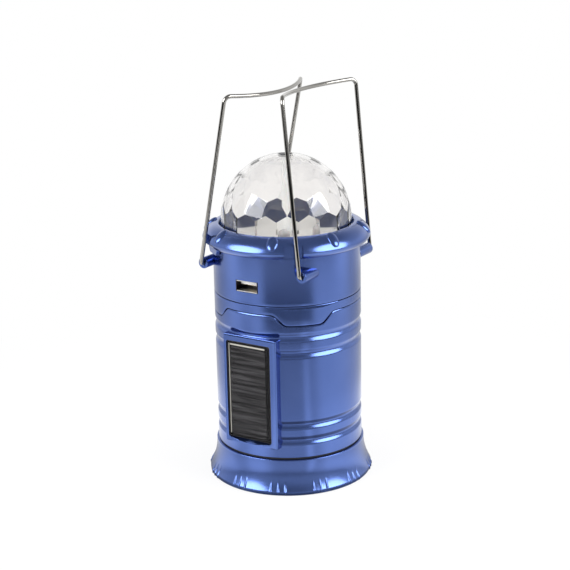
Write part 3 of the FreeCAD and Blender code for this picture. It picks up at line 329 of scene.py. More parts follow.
# Torch under the foot: clear lens in its lip, vacuum-coated bowl, and an LED on its board in the throat.
# Clear plastic lets most of the light of a lamp straight through, so that its shadows stay faint.
clear, shader, place = finish(
    "clear_plastic", Base_Color=(0.968, 0.957, 0.948, 1), IOR=1.49, Transmission_Weight=1.0,
    Specular_IOR_Level=0.1)
feed(shader, Roughness=0.012 + place.noise(600) * 0.02, Normal=place.noise(120).bump(0.000006))
tree = place.tree
passing = Lead(tree, tree.nodes.new("ShaderNodeLightPath").outputs["Is Shadow Ray"])
through = passing.node("BsdfTransparent", Color=(0.94, 0.95, 0.96, 1))
cleared = passing.node("MixShader", _0=passing * 0.6, _1=Lead(tree, shader.outputs[0]), _2=through)
surface = next(item for item in tree.nodes if item.type == "OUTPUT_MATERIAL").inputs["Surface"]
tree.links.new(cleared.socket, surface)
mirror = plain(
    "vacuum_coating", (60, (0.86, 0.86, 0.87), (0.93, 0.93, 0.94)), (0.05, 300, 0.05), (90, 0.00002),
    Metallic=1.0)
board_green, shader, place = finish("solder_masked_board", Coat_Roughness=0.2)
tracks = place.noise(700).between(0.45, 0.6)
feed(
    shader, Base_Color=tracks.tint((0.010, 0.085, 0.035), (0.016, 0.13, 0.05)),
    Roughness=0.35 + place.noise(500) * 0.15, Coat_Weight=0.3 + place.noise(90) * 0.2,
    Normal=place.noise(1800).bump(0.00002))
phosphor = plain(
    "white_led_lens", (400, (0.86, 0.80, 0.48), (0.93, 0.90, 0.66)), (0.12, 900, 0.08), (700, 0.00001),
    Subsurface_Weight=0.2, Specular_IOR_Level=0.6)


def smooth_copy(node, angle=30):
    """A copy of a node's mesh with its doubled points merged and its shallow edges smoothed."""
    work = bmesh.new()
    work.from_mesh(nodes[node].data)
    bmesh.ops.remove_doubles(work, verts=work.verts, dist=1e-6)
    mesh = bpy.data.meshes.new(node + "_moulding")
    work.to_mesh(mesh)
    work.free()
    return smooth_piece(node + "_moulding", mesh, angle)


def dress_copies(body, *rows):
    """Smoothed copies that stand for their nodes on one body; each row is (node, material, slot)."""
    for node, material, slot in rows:
        dress(smooth_copy(node), material, body, slot, node)


dress_copies(
    "base", ("torch_lens", clear, "clear_plastic"), ("torch_reflector", mirror, "mirror_coat"),
    ("torch_led_board", board_green, "circuit_board"), ("torch_led", phosphor, "white_led"))

# Lower housing: a grooved blue tube with a floor and a neck for the foot. Its top edge is cut into four
# merlons, and a flat frame with a pocket for the solar panel stands on its front.
WALL_RADIUS = 38.6
BORE_RADIUS = 36.0
WALL_TOP = 87.0
GROOVES = np.array([84.4, 75.7, 37.0, 28.4])
GROOVE_DEPTH = 0.95
GROOVE_HEIGHT = 5.6
MERLON_FOOT = 90.2
MERLON_RISE = 5.8
MERLON_HALF_FOOT = 19.3
MERLON_SLOPE = 5.5
POCKET_FLOOR = 36.7
POCKET_LOW = 25.95
POCKET_HIGH = 81.45
POCKET_HALF = 15.4
FRAME_FRONT = 39.0
FRAME_ROOT = 37.2
FRAME_HALF = 16.8
FRAME_LEFT = 14.9
OPENING_HALF = 13.3
SILL_DIP = 1.9


def grooved(height):
    """Radius of the wall: the wall's own less a soft groove, depth (1 + cos(2 pi d / height)) / 2."""
    near = np.abs(height[:, None] - GROOVES).min(axis=1)
    return WALL_RADIUS - GROOVE_DEPTH * (1 + np.cos(FULL_TURN * np.clip(near / GROOVE_HEIGHT, 0, 0.5))) / 2


def ramp(share):
    """A rounded ramp from 0 to 1: (|t| - |t - 1| + 1) / 2 with each |x| softened to sqrt(x^2 + e)."""
    soft = 0.02
    return (np.sqrt(share ** 2 + soft) - np.sqrt((share - 1) ** 2 + soft) + 1) / 2


def castle(azimuth, spare):
    """Height of the castellated seam, raised and widened by some room to spare: a merlon at each quarter
    turn, whose flanks are rounded ramps."""
    quarter = (azimuth + np.pi / 4) % (np.pi / 2) - np.pi / 4
    side = WALL_RADIUS * np.abs(np.sin(quarter))
    return MERLON_FOOT + MERLON_RISE * ramp((MERLON_HALF_FOOT + spare - side) / MERLON_SLOPE) + spare


wall_azimuth = np.linspace(0, FULL_TURN, 720, endpoint=False)
pocket_steps = (25.9, 26.0, 81.4, 81.5)
groove_steps = (GROOVES[:, None] + np.linspace(-GROOVE_HEIGHT / 2, GROOVE_HEIGHT / 2, 21)).ravel()
wall_height = np.unique(np.concatenate([np.linspace(19.6, WALL_TOP, 24), groove_steps, pocket_steps]))
wall_outline = np.stack([grooved(wall_height), wall_height], axis=1)
# The top's heights are shares of the way from the wall's top to the seam.
top_outline = np.array([
    (WALL_RADIUS, 0.15), (WALL_RADIUS, 0.55), (WALL_RADIUS, 0.9), (38.55, 0.97), (38.35, 1.0), (36.2, 1.0),
    (BORE_RADIUS, 0.97), (BORE_RADIUS, 0.3)])
inside_outline = np.array([
    (BORE_RADIUS, 86.0), (BORE_RADIUS, 20.1), (0.4, 20.1), (0.4, 18.1), (34.4, 18.1), (34.4, 10.1),
    (36.8, 10.1), (37.0, 10.3), (37.0, 19.1), (38.3, 19.1), (WALL_RADIUS, 19.35)])
housing_points = turned(np.concatenate([wall_outline, top_outline, inside_outline]), wall_azimuth)
first_top = len(wall_outline)
top_rows = slice(first_top, first_top + len(top_outline))
seam = castle(wall_azimuth, 0)[None, :]
housing_points[top_rows, :, 2] = WALL_TOP + (seam - WALL_TOP) * top_outline[:, 1, None]
outer_wall = housing_points[:first_top]
in_pocket = (wall_height[:, None] > POCKET_LOW) & (wall_height[:, None] < POCKET_HIGH)
in_pocket = in_pocket & (np.abs(outer_wall[..., 0]) < POCKET_HALF) & (outer_wall[..., 1] < 0)
outer_wall[..., 1] = np.where(in_pocket, np.maximum(outer_wall[..., 1], -POCKET_FLOOR), outer_wall[..., 1])


def loop_of(half_width, low, high, ease, count):
    """A rounded rectangle of (x, z) points, count on each side and eased corner, from its lower left."""
    left, right = -half_width, half_width
    corners = np.array([(left, low), (right, low), (right, high), (left, high)], dtype=float)
    turn = np.linspace(0, np.pi / 2, count)
    start = np.array([np.pi, 1.5 * np.pi, 0, 0.5 * np.pi])[:, None]
    middle = corners + np.array([(1, 1), (-1, 1), (-1, -1), (1, -1)]) * ease
    bend = middle[:, None] + ease * np.stack([np.cos(start + turn), np.sin(start + turn)], axis=-1)
    t = np.linspace(0, 1, count + 2)[None, 1:-1, None]
    run = bend[:, -1:] * (1 - t) + np.roll(bend, -1, axis=0)[:, :1] * t
    return np.concatenate([bend, run], axis=1).reshape(-1, 2)


# The frame runs from its outer edge, up from the wall, over its face and down into the pocket. Its left rail
# is the narrower one, and its sill bows down.
frame_outside = loop_of(FRAME_HALF, 24.8, 83.6, 0.5, 24)
is_left = frame_outside[:, 0] < 0
frame_outside[:, 0] = np.where(is_left, frame_outside[:, 0] * FRAME_LEFT / FRAME_HALF, frame_outside[:, 0])
frame_inside = loop_of(OPENING_HALF, 27.3, 80.1, 1.3, 24)
sill = (1 - np.clip(frame_inside[:, 0] / OPENING_HALF, -1, 1) ** 2) * (frame_inside[:, 1] < 28.7)
inward = np.array([0.0, 0.0, 0.0, 0.04, 0.09, 0.5, 0.93, 0.98, 1.0, 1.0])[:, None]
outward = np.array([0.0, 0.85, 1.0, 1.0, 1.0, 1.0, 1.0, 1.0, 1.0, 1.0])[:, None]
in_depth = np.array([0, 0, 0, 0, 0, 0, 0, 0, 0, 1.0])[:, None]
edge_drop = np.array([0, 0, 0.30, 0.07, 0.0, 0.0, 0.0, 0.06, 0.25, 0.0])[:, None]
frame_xz = frame_outside[None] * (1 - inward[..., None]) + frame_inside[None] * inward[..., None]
frame_xz[:, :, 1] -= SILL_DIP * sill * inward * (1 - in_depth)
root = np.sqrt(FRAME_ROOT ** 2 - np.clip(np.abs(frame_xz[..., 0]), 0, 37) ** 2)
frame_y = root + (FRAME_FRONT - edge_drop - root) * outward
frame_y = frame_y * (1 - in_depth) + POCKET_FLOOR * in_depth
frame_points = np.stack([frame_xz[..., 0], -frame_y, frame_xz[..., 1]], axis=-1)
housing = skin("grooved_housing", (housing_points, True, True), (frame_points, True, False))
dress(housing, blue, "base", "blue_plastic", "lower_housing")

# Solar panel: dark cells in strips with fine pick-up lines, under a clear resin cover. Two bright lines
# along the cells' left and top edges are painted highlights of the resin's edge, and the cover's own edge is
# painted black as shade. The cells' pattern is in millimetres.
STRIP_HEIGHT = 5.3
FIELD_LEFT = 1.1
cells, shader, place = finish("solar_strips", Specular_IOR_Level=0.15)
across = place.part(0) * 1000.0
up = place.part(2) * 1000.0
off_middle = abs(across + FIELD_LEFT)
wavy = up + (place.noise(160, 2.0, (1, 1, 3)) - 0.5) * 1.5
beside = (off_middle - 8.8).at_least(0.0)
beyond = (abs(up - 52.8) - 22.0).at_least(0.0)
field = 1.0 - (beside * beside + beyond * beyond).between(3.4, 4.6)
strip = wavy.figure("FRACT", wavy / STRIP_HEIGHT)
trough = strip.between(0.45, 0.70) * (1.0 - strip.between(0.80, 1.0))
fine = up.figure("FRACT", up * 1.1).between(0.3, 0.9)
streak = place.noise(420, 3.0, (0.12, 1, 2.2))
tone = field * (streak.between(0.25, 0.75) * 0.8 + fine * 0.2) * (1.0 - trough * 0.65)
# Painted highlights: near-white lines on the cells' left and top edges stand for light caught by the resin's
# edge.
left_painted_highlight = (1.0 - abs(across + 12.35).between(0.18, 0.32)) * (1.0 - abs(up - 53.6).between(24.6, 24.8))
top_painted_highlight = (1.0 - abs(up - 77.8).between(0.34, 0.52)) * (1.0 - off_middle.between(10.4, 10.8))
dark = tone.tint((0.002, 0.002, 0.003), (0.110, 0.106, 0.114))
feed(
    shader, Base_Color=left_painted_highlight.at_least(top_painted_highlight).blend(dark, (0.82, 0.80, 0.72, 1)),
    Roughness=0.35 + streak * 0.2, Normal=(fine * 0.3 + trough * 0.7).bump(0.00002))
dress(nodes["solar_cells"], cells)
resin, shader, place = finish(
    "clear_resin", Base_Color=(0.97, 0.97, 0.97, 1), IOR=1.18, Transmission_Weight=1.0)
feed(shader, Roughness=0.02 + place.noise(400) * 0.03, Normal=place.noise(90).bump(0.00001))
COVER_HALF = 13.2
EDGE_ROWS = 3
cover_steps = ((0.05, 37.62), (0.05, 38.3), (0.15, 38.45), (0.45, 38.5), (0.6, 38.5), (COVER_HALF, 38.5))
cover_rows = []
for inset, depth in cover_steps:
    ease = max(1.2 - inset, min(0.4, COVER_HALF - inset))
    ring = loop_of(COVER_HALF - inset, 27.4 + inset, 80.0 - inset, ease, 16)
    cover_rows.append(np.stack([ring[:, 0], np.full(len(ring), -depth), ring[:, 1]], axis=-1))
cover = skin("resin_cover", (np.stack(cover_rows), True, False))
dress(cover, resin, "base", "clear_plastic", "solar_cover")
# Painted shade: the cover's edge rows take the black rubber, standing for the shadowed gap round the cover.
cover.data.materials.append(rubber)
painted_shade_edge = np.arange(len(cover.data.polygons)) < EDGE_ROWS * cover_rows[0].shape[0]
cover.data.polygons.foreach_set("material_index", painted_shade_edge.astype(np.int32))

# Inside the lower housing: battery cell in its cradle, its contacts, the charge board and the guide ring.
wrap, shader, place = finish("cell_shrink_wrap", Coat_Roughness=0.15)
feed(
    shader, Base_Color=place.noise(150).tint((0.02, 0.10, 0.36), (0.03, 0.13, 0.42)),
    Roughness=0.30 + place.noise(300) * 0.1, Coat_Weight=0.3 + place.noise(40) * 0.2,
    Normal=place.noise(260, 2.0, (0.2, 1, 1)).bump(0.00003))
black = plain(
    "black_plastic", (500, (0.012, 0.012, 0.013), (0.024, 0.024, 0.026)), (0.45, 300, 0.15), (1600, 0.00002),
    Specular_IOR_Level=0.4)
ROLLED = (1, 8, 1)
nickel, shader, place = finish("nickel_plate", Metallic=1.0)
feed(
    shader, Base_Color=place.noise(120).tint((0.66, 0.64, 0.61), (0.76, 0.75, 0.73)),
    Roughness=0.20 + place.noise(800, 2.0, ROLLED) * 0.12,
    Normal=place.noise(900, 2.0, ROLLED).bump(0.00001))
white = plain(
    "white_moulding", (200, (0.56, 0.555, 0.52), (0.63, 0.625, 0.59)), (0.38, 500, 0.12), (1300, 0.00001),
    Subsurface_Weight=0.05)
dress_copies(
    "base", ("battery", wrap, "cell_wrap"), ("battery_cradle", black, "black_plastic"),
    ("battery_contacts", nickel, "nickel_sheet"), ("charge_board", board_green, "circuit_board"),
    ("guide_ring", white, "white_plastic"))

# Interlock sleeve: the blue ring whose teeth drop between the merlons when the lantern is shut. Its heights
# are shares of the way from the seam to the collar.
COLLAR_HEIGHT = 100.6
SEAM_GAP = 0.36
sleeve_outline = np.array([
    (36.2, 0.0), (38.35, 0.0), (38.55, 0.03), (WALL_RADIUS, 0.09), (WALL_RADIUS, 0.4), (WALL_RADIUS, 0.8),
    (WALL_RADIUS, 0.965), (38.5, 0.995), (38.3, 1.0), (36.1, 1.0), (BORE_RADIUS, 0.99), (BORE_RADIUS, 0.5),
    (BORE_RADIUS, 0.04)])
sleeve_points = turned(sleeve_outline, wall_azimuth)
sleeve_foot = castle(wall_azimuth, SEAM_GAP)[None, :]
sleeve_points[..., 2] = sleeve_foot + (COLLAR_HEIGHT - sleeve_foot) * sleeve_outline[:, 1, None]
dress(skin("toothed_sleeve", (sleeve_points, True, True)), blue, "upper", "blue_plastic", "interlock_sleeve")

# Upper housing: a blue cup with a window for the USB outlet, a bezel for the rear button and four tubular
# lugs for the bail wires. Its spigot is glued into the sleeve.
CUP_FLOOR = 100.9
CUP_TOP = 128.5
WINDOW_HALF_WIDTH = 6.6
WINDOW_HALF_HEIGHT = 2.92
WINDOW_UP = 110.0
WINDOW_DEPTH = 23.9
BUTTON_UP = 112.5
SEAT_RADIUS = 4.95
SEAT_DEPTH = 33.6
LUG_OUT = 29.8
LUG_UP = 117.5
window_side = math.asin(WINDOW_HALF_WIDTH / WALL_RADIUS)
cup_azimuth = np.unique(np.concatenate([
    np.linspace(0.0, FULL_TURN, 360, endpoint=False), np.pi + np.linspace(-0.17, 0.17, 60),
    [window_side, window_side + 0.002, FULL_TURN - window_side, FULL_TURN - window_side - 0.002]]))
cup_height = np.unique(np.concatenate([
    np.linspace(102.8, 128.4, 20), np.linspace(106.5, 118.5, 60), [107.05, 107.1, 112.9, 112.95]]))
cup_outline = np.concatenate([
    [(BORE_RADIUS, 97.1), (BORE_RADIUS, 100.7), (36.1, CUP_FLOOR), (38.2, CUP_FLOOR)],
    [(38.42, 100.98), (38.55, 101.2), (38.59, 101.5)],
    np.stack([np.full_like(cup_height, WALL_RADIUS), cup_height], axis=1),
    [(38.5, CUP_TOP), (36.1, CUP_TOP)],
    np.stack([np.full_like(cup_height, BORE_RADIUS), cup_height], axis=1)[::-1],
    [(0.4, 102.8), (0.4, CUP_FLOOR), (33.9, CUP_FLOOR), (33.9, 97.1)]])
cup_out, cup_up = cup_outline.T
cup_points = turned(cup_outline, cup_azimuth)
is_wall = np.isin(cup_out, (WALL_RADIUS, BORE_RADIUS)) & np.isin(cup_up, cup_height)
backing = np.where(cup_out > 38, 0.0, 0.5)[:, None]
off_front = np.abs((cup_azimuth + np.pi) % FULL_TURN - np.pi)
window_rows = is_wall & (np.abs(cup_up - WINDOW_UP) < WINDOW_HALF_HEIGHT)
in_window = window_rows[:, None] & (off_front < window_side + 0.001)
window_x = WALL_RADIUS * np.sin(cup_azimuth) * (1 + backing / 25)
cup_points[..., 0] = np.where(in_window, window_x, cup_points[..., 0])
cup_points[..., 1] = np.where(in_window, backing - WINDOW_DEPTH, cup_points[..., 1])
from_button = np.hypot(cup_points[..., 0], cup_points[..., 2] - BUTTON_UP)
in_seat = is_wall[:, None] & (from_button < SEAT_RADIUS) & (cup_points[..., 1] > 0)
cup_points[..., 1] = np.where(in_seat, SEAT_DEPTH - backing, cup_points[..., 1])
bezel_outline = rounded([(4.65, SEAT_DEPTH), (4.65, 39.0), (6.1, 39.0), (6.1, 36.5), (5.2, SEAT_DEPTH)], 0.3)
bezel_x, bezel_z, bezel_y = np.moveaxis(turned(bezel_outline, circle), -1, 0)
bezel_follow = WALL_RADIUS - np.sqrt(WALL_RADIUS ** 2 - bezel_x ** 2)
bezel_points = np.stack([bezel_x, bezel_y - bezel_follow, bezel_z + BUTTON_UP], axis=-1)
lug_outline = rounded([(1.14, 21.0), (1.14, 33.7), (2.9, 33.7), (2.9, 21.0)], 0.3)
lug_x, lug_z, lug_y = np.moveaxis(turned(lug_outline, np.linspace(0, FULL_TURN, 48, endpoint=False)), -1, 0)
lugs = [
    (np.stack([lug_x + side * LUG_OUT, end * lug_y, lug_z + LUG_UP], axis=-1), True, True)
    for side in (-1, 1) for end in (-1, 1)]
cup = skin("upper_cup", (cup_points, True, True), (bezel_points, True, True), *lugs)
dress(cup, blue, "upper", "blue_plastic", "upper_housing")

# USB outlet: folded nickel shell with painted shade, dark in its depth and sides, an ivory tongue, four gilt
# contacts and the board that carries it.
ivory = plain(
    "ivory_plastic", (300, (0.90, 0.88, 0.85), (0.96, 0.95, 0.93)), (0.35, 500, 0.1), (1500, 0.00001),
    Specular_IOR_Level=0.5)
gilt = plain(
    "gilt_contact", (500, (0.75, 0.52, 0.20), (0.85, 0.62, 0.28)), (0.22, 900, 0.1), (1500, 0.000005),
    Metallic=1.0)
shell, shader, place = finish("socket_shell", Metallic=1.0)
# Painted shade: the shell turns near black towards its depth and on its side walls, where little light gets
# in.
painted_shade_deep = (place.part(1) + place.noise(500) * 0.001).between(-0.0355, -0.0315)
painted_shade_sides = abs(place.part(0)).between(0.0060, 0.0061)
feed(
    shader, Base_Color=painted_shade_deep.at_least(painted_shade_sides).tint((0.84, 0.82, 0.78), (0.05, 0.04, 0.05)),
    Roughness=0.25 + place.noise(800, 2.0, ROLLED) * 0.12,
    Normal=place.noise(900, 2.0, ROLLED).bump(0.00001))
dress_copies(
    "upper", ("usb_shell", shell, "nickel_sheet"), ("usb_tongue", ivory, "ivory_plastic"),
    ("usb_contacts", gilt, "gold_contact"), ("usb_board", board_green, "circuit_board"))

# Light chimney, seen when the lantern is pulled up: a clear tube in a white foot ring round a bright cone,
# with the lamp board and its LEDs above. The button's switch and board and the motor's mount are hidden.
dress_copies(
    "upper", ("chimney", clear, "clear_plastic"), ("chimney_foot", white, "white_plastic"),
    ("cone_reflector", mirror, "mirror_coat"), ("lamp_board", white, "white_board"),
    ("lamp_leds", phosphor, "white_led"), ("button_switch", black, "black_plastic"),
    ("button_board", board_green, "circuit_board"), ("motor_mount", white, "white_plastic"))

# Rim: a wide rolled blue ring with eight oval beads on its shoulder. Four notches let the bail legs stand
# upright, and a short tab hangs in each.
RIM_RADIUS = 43.9
RIM_UP = 129.6
NOTCH_HALF = 4.75
NOTCH_FLOOR = 40.6
NOTCH_TOP = 133.0
BEADS = 8
BEAD_HALVES = (1.6, 3.0, 4.6)
BEAD_OUT = 40.5
BEAD_UP = 133.9
TAB_UP = 125.6


def arc_between(start, end, radius, count):
    """Points of a circular arc that bulges to the right of the way from start to end."""
    start, end = np.array(start), np.array(end)
    chord = end - start
    length = np.linalg.norm(chord)
    right = np.array([chord[1], -chord[0]]) / length
    middle = (start + end) / 2 - right * math.sqrt(radius ** 2 - length ** 2 / 4)
    first = math.atan2(*(start - middle)[::-1])
    last = math.atan2(*(end - middle)[::-1])
    turn = np.linspace(first, last, count)
    return middle + radius * np.stack([np.cos(turn), np.sin(turn)], axis=1)


def set_round(out, aside, up, turn):
    """Points at a distance out from the axis and aside along the rim, turned to an azimuth."""
    x = out * math.sin(turn) + aside * math.cos(turn)
    y = -out * math.cos(turn) + aside * math.sin(turn)
    return np.stack(np.broadcast_arrays(x, y, up), axis=-1)


notch_side = np.arcsin(NOTCH_HALF / 41.0)
notch_at = np.radians([37.0, 143.0, 217.0, 323.0])
notch_columns = (notch_at[:, None] + np.array([-1.001, -0.999, 0.999, 1.001]) * notch_side).ravel()
rim_azimuth = np.unique(np.concatenate([np.linspace(0, FULL_TURN, 600, endpoint=False), notch_columns]))
rim_over = arc_between((RIM_RADIUS, RIM_UP), (36.2, 136.5), 9.5, 40)
notch_up = np.array([132.98, 133.02])
notch_rows = np.stack([np.interp(notch_up, rim_over[:, 1], rim_over[:, 0]), notch_up], axis=1)
rim_over = np.concatenate([rim_over, notch_rows])
rim_over = rim_over[np.argsort(rim_over[:, 1])]
rim_outline = np.concatenate([
    [(33.2, 129.2), (33.2, CUP_TOP), (38.7, CUP_TOP), (38.7, 126.0), (38.85, 125.75)],
    arc_between((38.9, 125.7), (RIM_RADIUS, RIM_UP), 5.4, 16)[:-1], rim_over[:-1],
    [(36.0, 136.56), (35.5, 136.5), (35.2, 136.2), (35.2, 129.2)]])
rim_points = turned(rim_outline, rim_azimuth)
for turn in notch_at:
    away_from_axis = np.array([np.sin(turn), -np.cos(turn)])
    along = rim_points[..., :2] @ away_from_axis
    aside = rim_points[..., :2] @ np.array([away_from_axis[1], -away_from_axis[0]])
    notched = (np.abs(aside) < NOTCH_HALF) & (along > 0) & (rim_points[..., 2] < NOTCH_TOP)
    excess = np.where(notched, np.maximum(along - NOTCH_FLOOR, 0), 0)
    rim_points[..., :2] -= excess[..., None] * away_from_axis
bead_turn = np.linspace(0, FULL_TURN, 32, endpoint=False)
bead_rise = np.linspace(-np.pi / 2 + 0.01, np.pi / 2 - 0.01, 20)[:, None]
bead_lean = math.radians(48)
bead_thick = BEAD_HALVES[0] * np.sin(bead_rise)
bead_wide = BEAD_HALVES[1] * np.cos(bead_rise) * np.cos(bead_turn)
bead_long = BEAD_HALVES[2] * np.cos(bead_rise) * np.sin(bead_turn)
bead_out = bead_thick * math.cos(bead_lean) - bead_long * math.sin(bead_lean) + BEAD_OUT
bead_up = bead_thick * math.sin(bead_lean) + bead_long * math.cos(bead_lean) + BEAD_UP
bead_at = np.radians(22.5 + 360 / BEADS * np.arange(BEADS))
beads = [(set_round(bead_out, bead_wide, bead_up, turn), True, False) for turn in bead_at]
tab_edge = rounded(
    [(-6.4, 126.7), (-6.4, 125.4), (-4.6, 123.0), (4.6, 123.0), (6.4, 125.4), (6.4, 126.7)], 0.7)
tab_out = np.array([38.75, 40.4, NOTCH_FLOOR, NOTCH_FLOOR])[:, None]
tab_scale = np.array([1.0, 1.0, 0.97, 0.01])[:, None]
tab_side = tab_edge[None, :, 0] * tab_scale
tab_up = TAB_UP + (tab_edge[None, :, 1] - TAB_UP) * tab_scale
tabs = [(set_round(tab_out, tab_side, tab_up, turn), True, False) for turn in notch_at]
dress(skin("beaded_rim", (rim_points, True, True), *beads, *tabs), blue, "upper", "blue_plastic", "rim_ring")

# Deck under the dome: silvered plastic, painted dark blue round its edge as the shade under the rim, six
# coloured LEDs and three screws; the motor stands below it.
silver, shader, place = finish("silvered_deck", Metallic=0.55)
plated = place.noise(300).tint((0.68, 0.67, 0.64), (0.76, 0.75, 0.72))
# Painted shade: beyond 24 mm from the axis the deck turns dark navy.
painted_shade_border = place.from_axis().between(0.0238, 0.0246)
feed(
    shader, Base_Color=painted_shade_border.blend(plated, (0.008, 0.020, 0.085, 1)),
    Roughness=0.30 + place.noise(400) * 0.12, Normal=place.noise(900).bump(0.00001))
dark_screw = plain(
    "blackened_screw", (600, (0.03, 0.03, 0.035), (0.07, 0.07, 0.08)), (0.32, 700, 0.15), (1800, 0.00001),
    Metallic=0.8)
can, shader, place = finish("plain_steel", Metallic=1.0)
feed(
    shader, Base_Color=place.noise(90).tint((0.50, 0.50, 0.51), (0.60, 0.60, 0.61)),
    Roughness=0.28 + place.noise(500, 2.0, (1, 1, 0.1)) * 0.15,
    Normal=place.noise(900, 2.0, (1, 1, 0.05)).bump(0.00001))
lens = plain(
    "party_led_lens", (250, (0.34, 0.34, 0.34), (0.42, 0.42, 0.42)), (0.10, 500, 0.08), (400, 0.00001),
    Specular_IOR_Level=0.6, Subsurface_Weight=0.1)
dress_copies(
    "upper", ("dome_deck", silver, "silver_deck"), ("party_leds", lens, "party_led"),
    ("deck_screws", dark_screw, "dark_screw"), ("motor", can, "motor_can"))

# Rotating dome: clear polished plastic, smooth outside and cut with flat facets inside, on a white post that
# the motor's shaft turns, held by one dark screw let into its top.
bright = plain(
    "bright_moulding", (200, (0.80, 0.79, 0.77), (0.88, 0.87, 0.85)), (0.38, 500, 0.12), (1300, 0.00001),
    Subsurface_Weight=0.05)
clear_dome = dress(smooth_copy("dome", 6), clear, "dome", "clear_plastic", "dome")
dress_copies(
    "dome", ("dome_post", bright, "white_plastic"), ("motor_shaft", can, "motor_can"),
    ("dome_screw", dark_screw, "dark_screw"))

# Mode button on the rear: a black rubber cap with a dished face.
dress_copies("mode_button", ("mode_button", rubber, "black_rubber"))

# Bails: two bent wires of chromed spring steel, sprung into the lugs; each bar bows towards the other.
chrome = plain(
    "chromed_wire", (200, (0.32, 0.31, 0.29), (0.40, 0.39, 0.37)), (0.07, 600, 0.06), (800, 0.00001),
    Metallic=1.0)
for node in ("left_bail", "right_bail"):
    dress(smooth_copy(node, 40), chrome, node, "chrome_wire", node)

# Studio: a white floor in a white world. Reflections alone see the floor as a lit table that ends in front,
# with darker wedges and one dark band across it. Soft boxes to both sides light all but the dome, which has
# two panes of its own in their places.
PURE_WHITE = (1, 1, 1, 1)
CAMERA_SIDE = (0.54, -0.84, 0.0)
FAR_SIDE = (-0.54, 0.84, 0.0)
FLOOR_HALF = 3000.0
floor_corners = FLOOR_HALF * np.array([[(-1, -1, 0), (1, -1, 0)], [(-1, 1, 0), (1, 1, 0)]])
floor = skin("studio_floor", (floor_corners, False, False))
floor_white = bpy.data.materials.new("white_sweep")
floor_white.use_nodes = True
tree = floor_white.node_tree
tree.nodes.clear()


def ray_kinds(tree):
    """1 for rays that see straight or through clear plastic, and 1 for rays that are reflected."""
    rays = tree.nodes.new("ShaderNodeLightPath")
    direct, passed, reflected = (
        Lead(tree, rays.outputs[f"Is {kind} Ray"]) for kind in ("Camera", "Transmission", "Glossy"))
    return direct.at_least(passed), reflected


def plateau(lead, low, lower, higher, high):
    """0 up to low, 1 from lower to higher, and 0 again from high."""
    return lead.between(low, lower) * (1.0 - lead.between(higher, high))


clear_view, reflected = ray_kinds(tree)
shine = reflected * (1.0 - clear_view)
ground = Lead(tree, tree.nodes.new("ShaderNodeTexCoord").outputs["Object"])
away = ground.length()
ahead = ground.along(CAMERA_SIDE)
bearing = ground.figure("ARCTAN2", ground.part(0), 0.0 - ground.part(1))
table_end = 1.0 - ahead.between(-0.05, 0.25) * away.between(0.49, 0.57)
near_table = 0.35 + away.between(0.045, 0.090) * 0.95 - away.between(0.13, 0.18) * 0.3
rear_table = 0.55 + ahead.between(-0.25, 0.05) * 0.45
far_table = 1.0 + away.between(0.424, 0.44) * 0.35
table = table_end * near_table * rear_table * far_table
wedges = plateau(bearing, -0.10, 0.30, 0.88, 0.98) * 0.44
wedges = wedges + plateau(bearing, 1.04, 1.10, 1.12, 1.45) * 0.3
wedges = wedges + plateau(bearing, -0.85, -0.60, -0.50, -0.25) * 0.25
wedges = wedges * (1.0 - away.between(0.30, 0.38) * 0.8)
band = plateau(away, 0.270, 0.325, 0.430, 0.450) * plateau(bearing, -0.22, 0.08, 1.08, 1.36)
shade = wedges.at_least(band)
brightness = 0.01 + table * (1.0 - shade) * 1.24
glow = ground.node("Emission", Color=clear_view + shine * brightness, Strength=1.0)
matt = ground.node("BsdfDiffuse", Color=(0.8, 0.8, 0.8, 1))
whiteness = clear_view * (0.84 + away.between(0.08, 0.30) * 0.16)
both = ground.node("MixShader", _0=whiteness + shine, _1=matt, _2=glow)
tree.links.new(both.socket, tree.nodes.new("ShaderNodeOutputMaterial").inputs["Surface"])
floor.data.materials.append(floor_white)

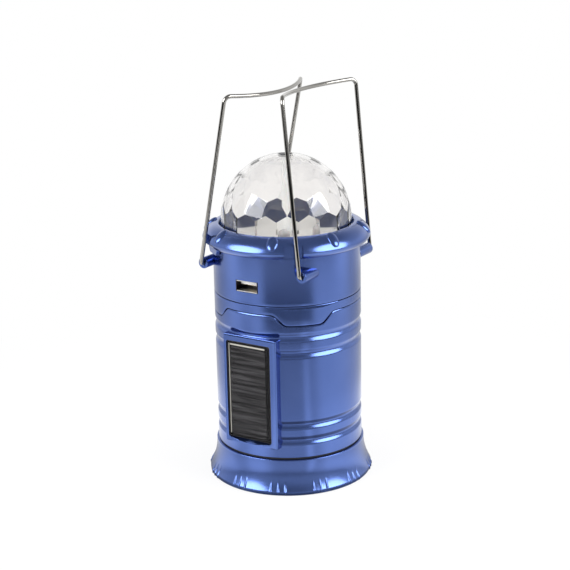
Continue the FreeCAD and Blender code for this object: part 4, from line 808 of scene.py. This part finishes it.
world = bpy.data.worlds.new("studio")
bpy.context.scene.world = world
world.use_nodes = True
tree = world.node_tree
tree.nodes.clear()
clear_view, reflected = ray_kinds(tree)
toward = Lead(tree, tree.nodes.new("ShaderNodeTexCoord").outputs["Generated"])
low = 1.0 - toward.part(2).between(0.45, 0.85)
behind = toward.along(FAR_SIDE).between(-0.25, 0.45)
horizon = plateau(toward.part(2), 0.02, 0.10, 0.22, 0.46)
plain_white = toward.node("Background", Color=PURE_WHITE, Strength=1.0)
ambient = toward.node("Background", Color=PURE_WHITE, Strength=0.40)
sweep = toward.node("Background", Color=PURE_WHITE, Strength=0.34 + low * behind * 0.4 + horizon * 0.36)
both = toward.node("MixShader", _0=reflected, _1=ambient, _2=sweep)
both = toward.node("MixShader", _0=clear_view, _1=both, _2=plain_white)
tree.links.new(both.socket, tree.nodes.new("ShaderNodeOutputWorld").inputs["Surface"])


def soft_box(name, shape, spot, target, wide, tall, power):
    """An area lamp of a size in metres at a spot, turned to face a target."""
    lamp = bpy.data.lights.new(name, "AREA")
    lamp.shape = shape
    lamp.size = wide
    lamp.size_y = tall
    lamp.energy = power
    box = bpy.data.objects.new(name, lamp)
    box.location = spot
    aim = np.array(target) - np.array(spot)
    tilt = math.atan2(math.hypot(aim[0], aim[1]), -aim[2])
    box.rotation_euler = (tilt, 0, math.atan2(aim[1], aim[0]) - math.pi / 2)
    box.visible_transmission = False
    bpy.context.scene.collection.objects.link(box)
    return box


all_but_dome = bpy.data.collections.new("all_but_the_dome")
dome_alone = bpy.data.collections.new("dome_alone")
for group, state in ((all_but_dome, "EXCLUDE"), (dome_alone, "INCLUDE")):
    group.objects.link(clear_dome)
    group.collection_objects[0].light_linking.link_state = state
for hand, spot in (("right", (0.792, 0.111, 0.50)), ("left", (-0.376, -0.706, 0.50))):
    box = soft_box(hand + "_box", "ELLIPSE", spot, (0, 0, 0.11), 0.76, 0.6, 7.5)
    box.light_linking.receiver_collection = all_but_dome
    pane = soft_box(hand + "_pane", "RECTANGLE", spot, (0, 0, 0.15), 0.56, 0.48, 8.5)
    pane.light_linking.receiver_collection = dome_alone
top_box = soft_box("top_box", "RECTANGLE", (0.0, 0.1, 0.9), (0, 0, 0.1), 0.7, 0.7, 5.0)
top_box.visible_glossy = False

scene = bpy.context.scene
scene.view_settings.view_transform = "Standard"
camera_data = bpy.data.cameras.new("camera")
camera_data.sensor_width = 36
camera_data.lens = 94.78
camera_data.clip_start = 0.01
camera = bpy.data.objects.new("camera", camera_data)
camera.matrix_world = (
    Matrix.Translation((0.41050, -0.63942, 0.32007)) @ Matrix.Rotation(math.radians(32.799), 4, "Z")
    @ Matrix.Rotation(math.radians(73.94), 4, "X") @ Matrix.Rotation(math.radians(-1.156), 4, "Z"))
scene.collection.objects.link(camera)
scene.camera = camera
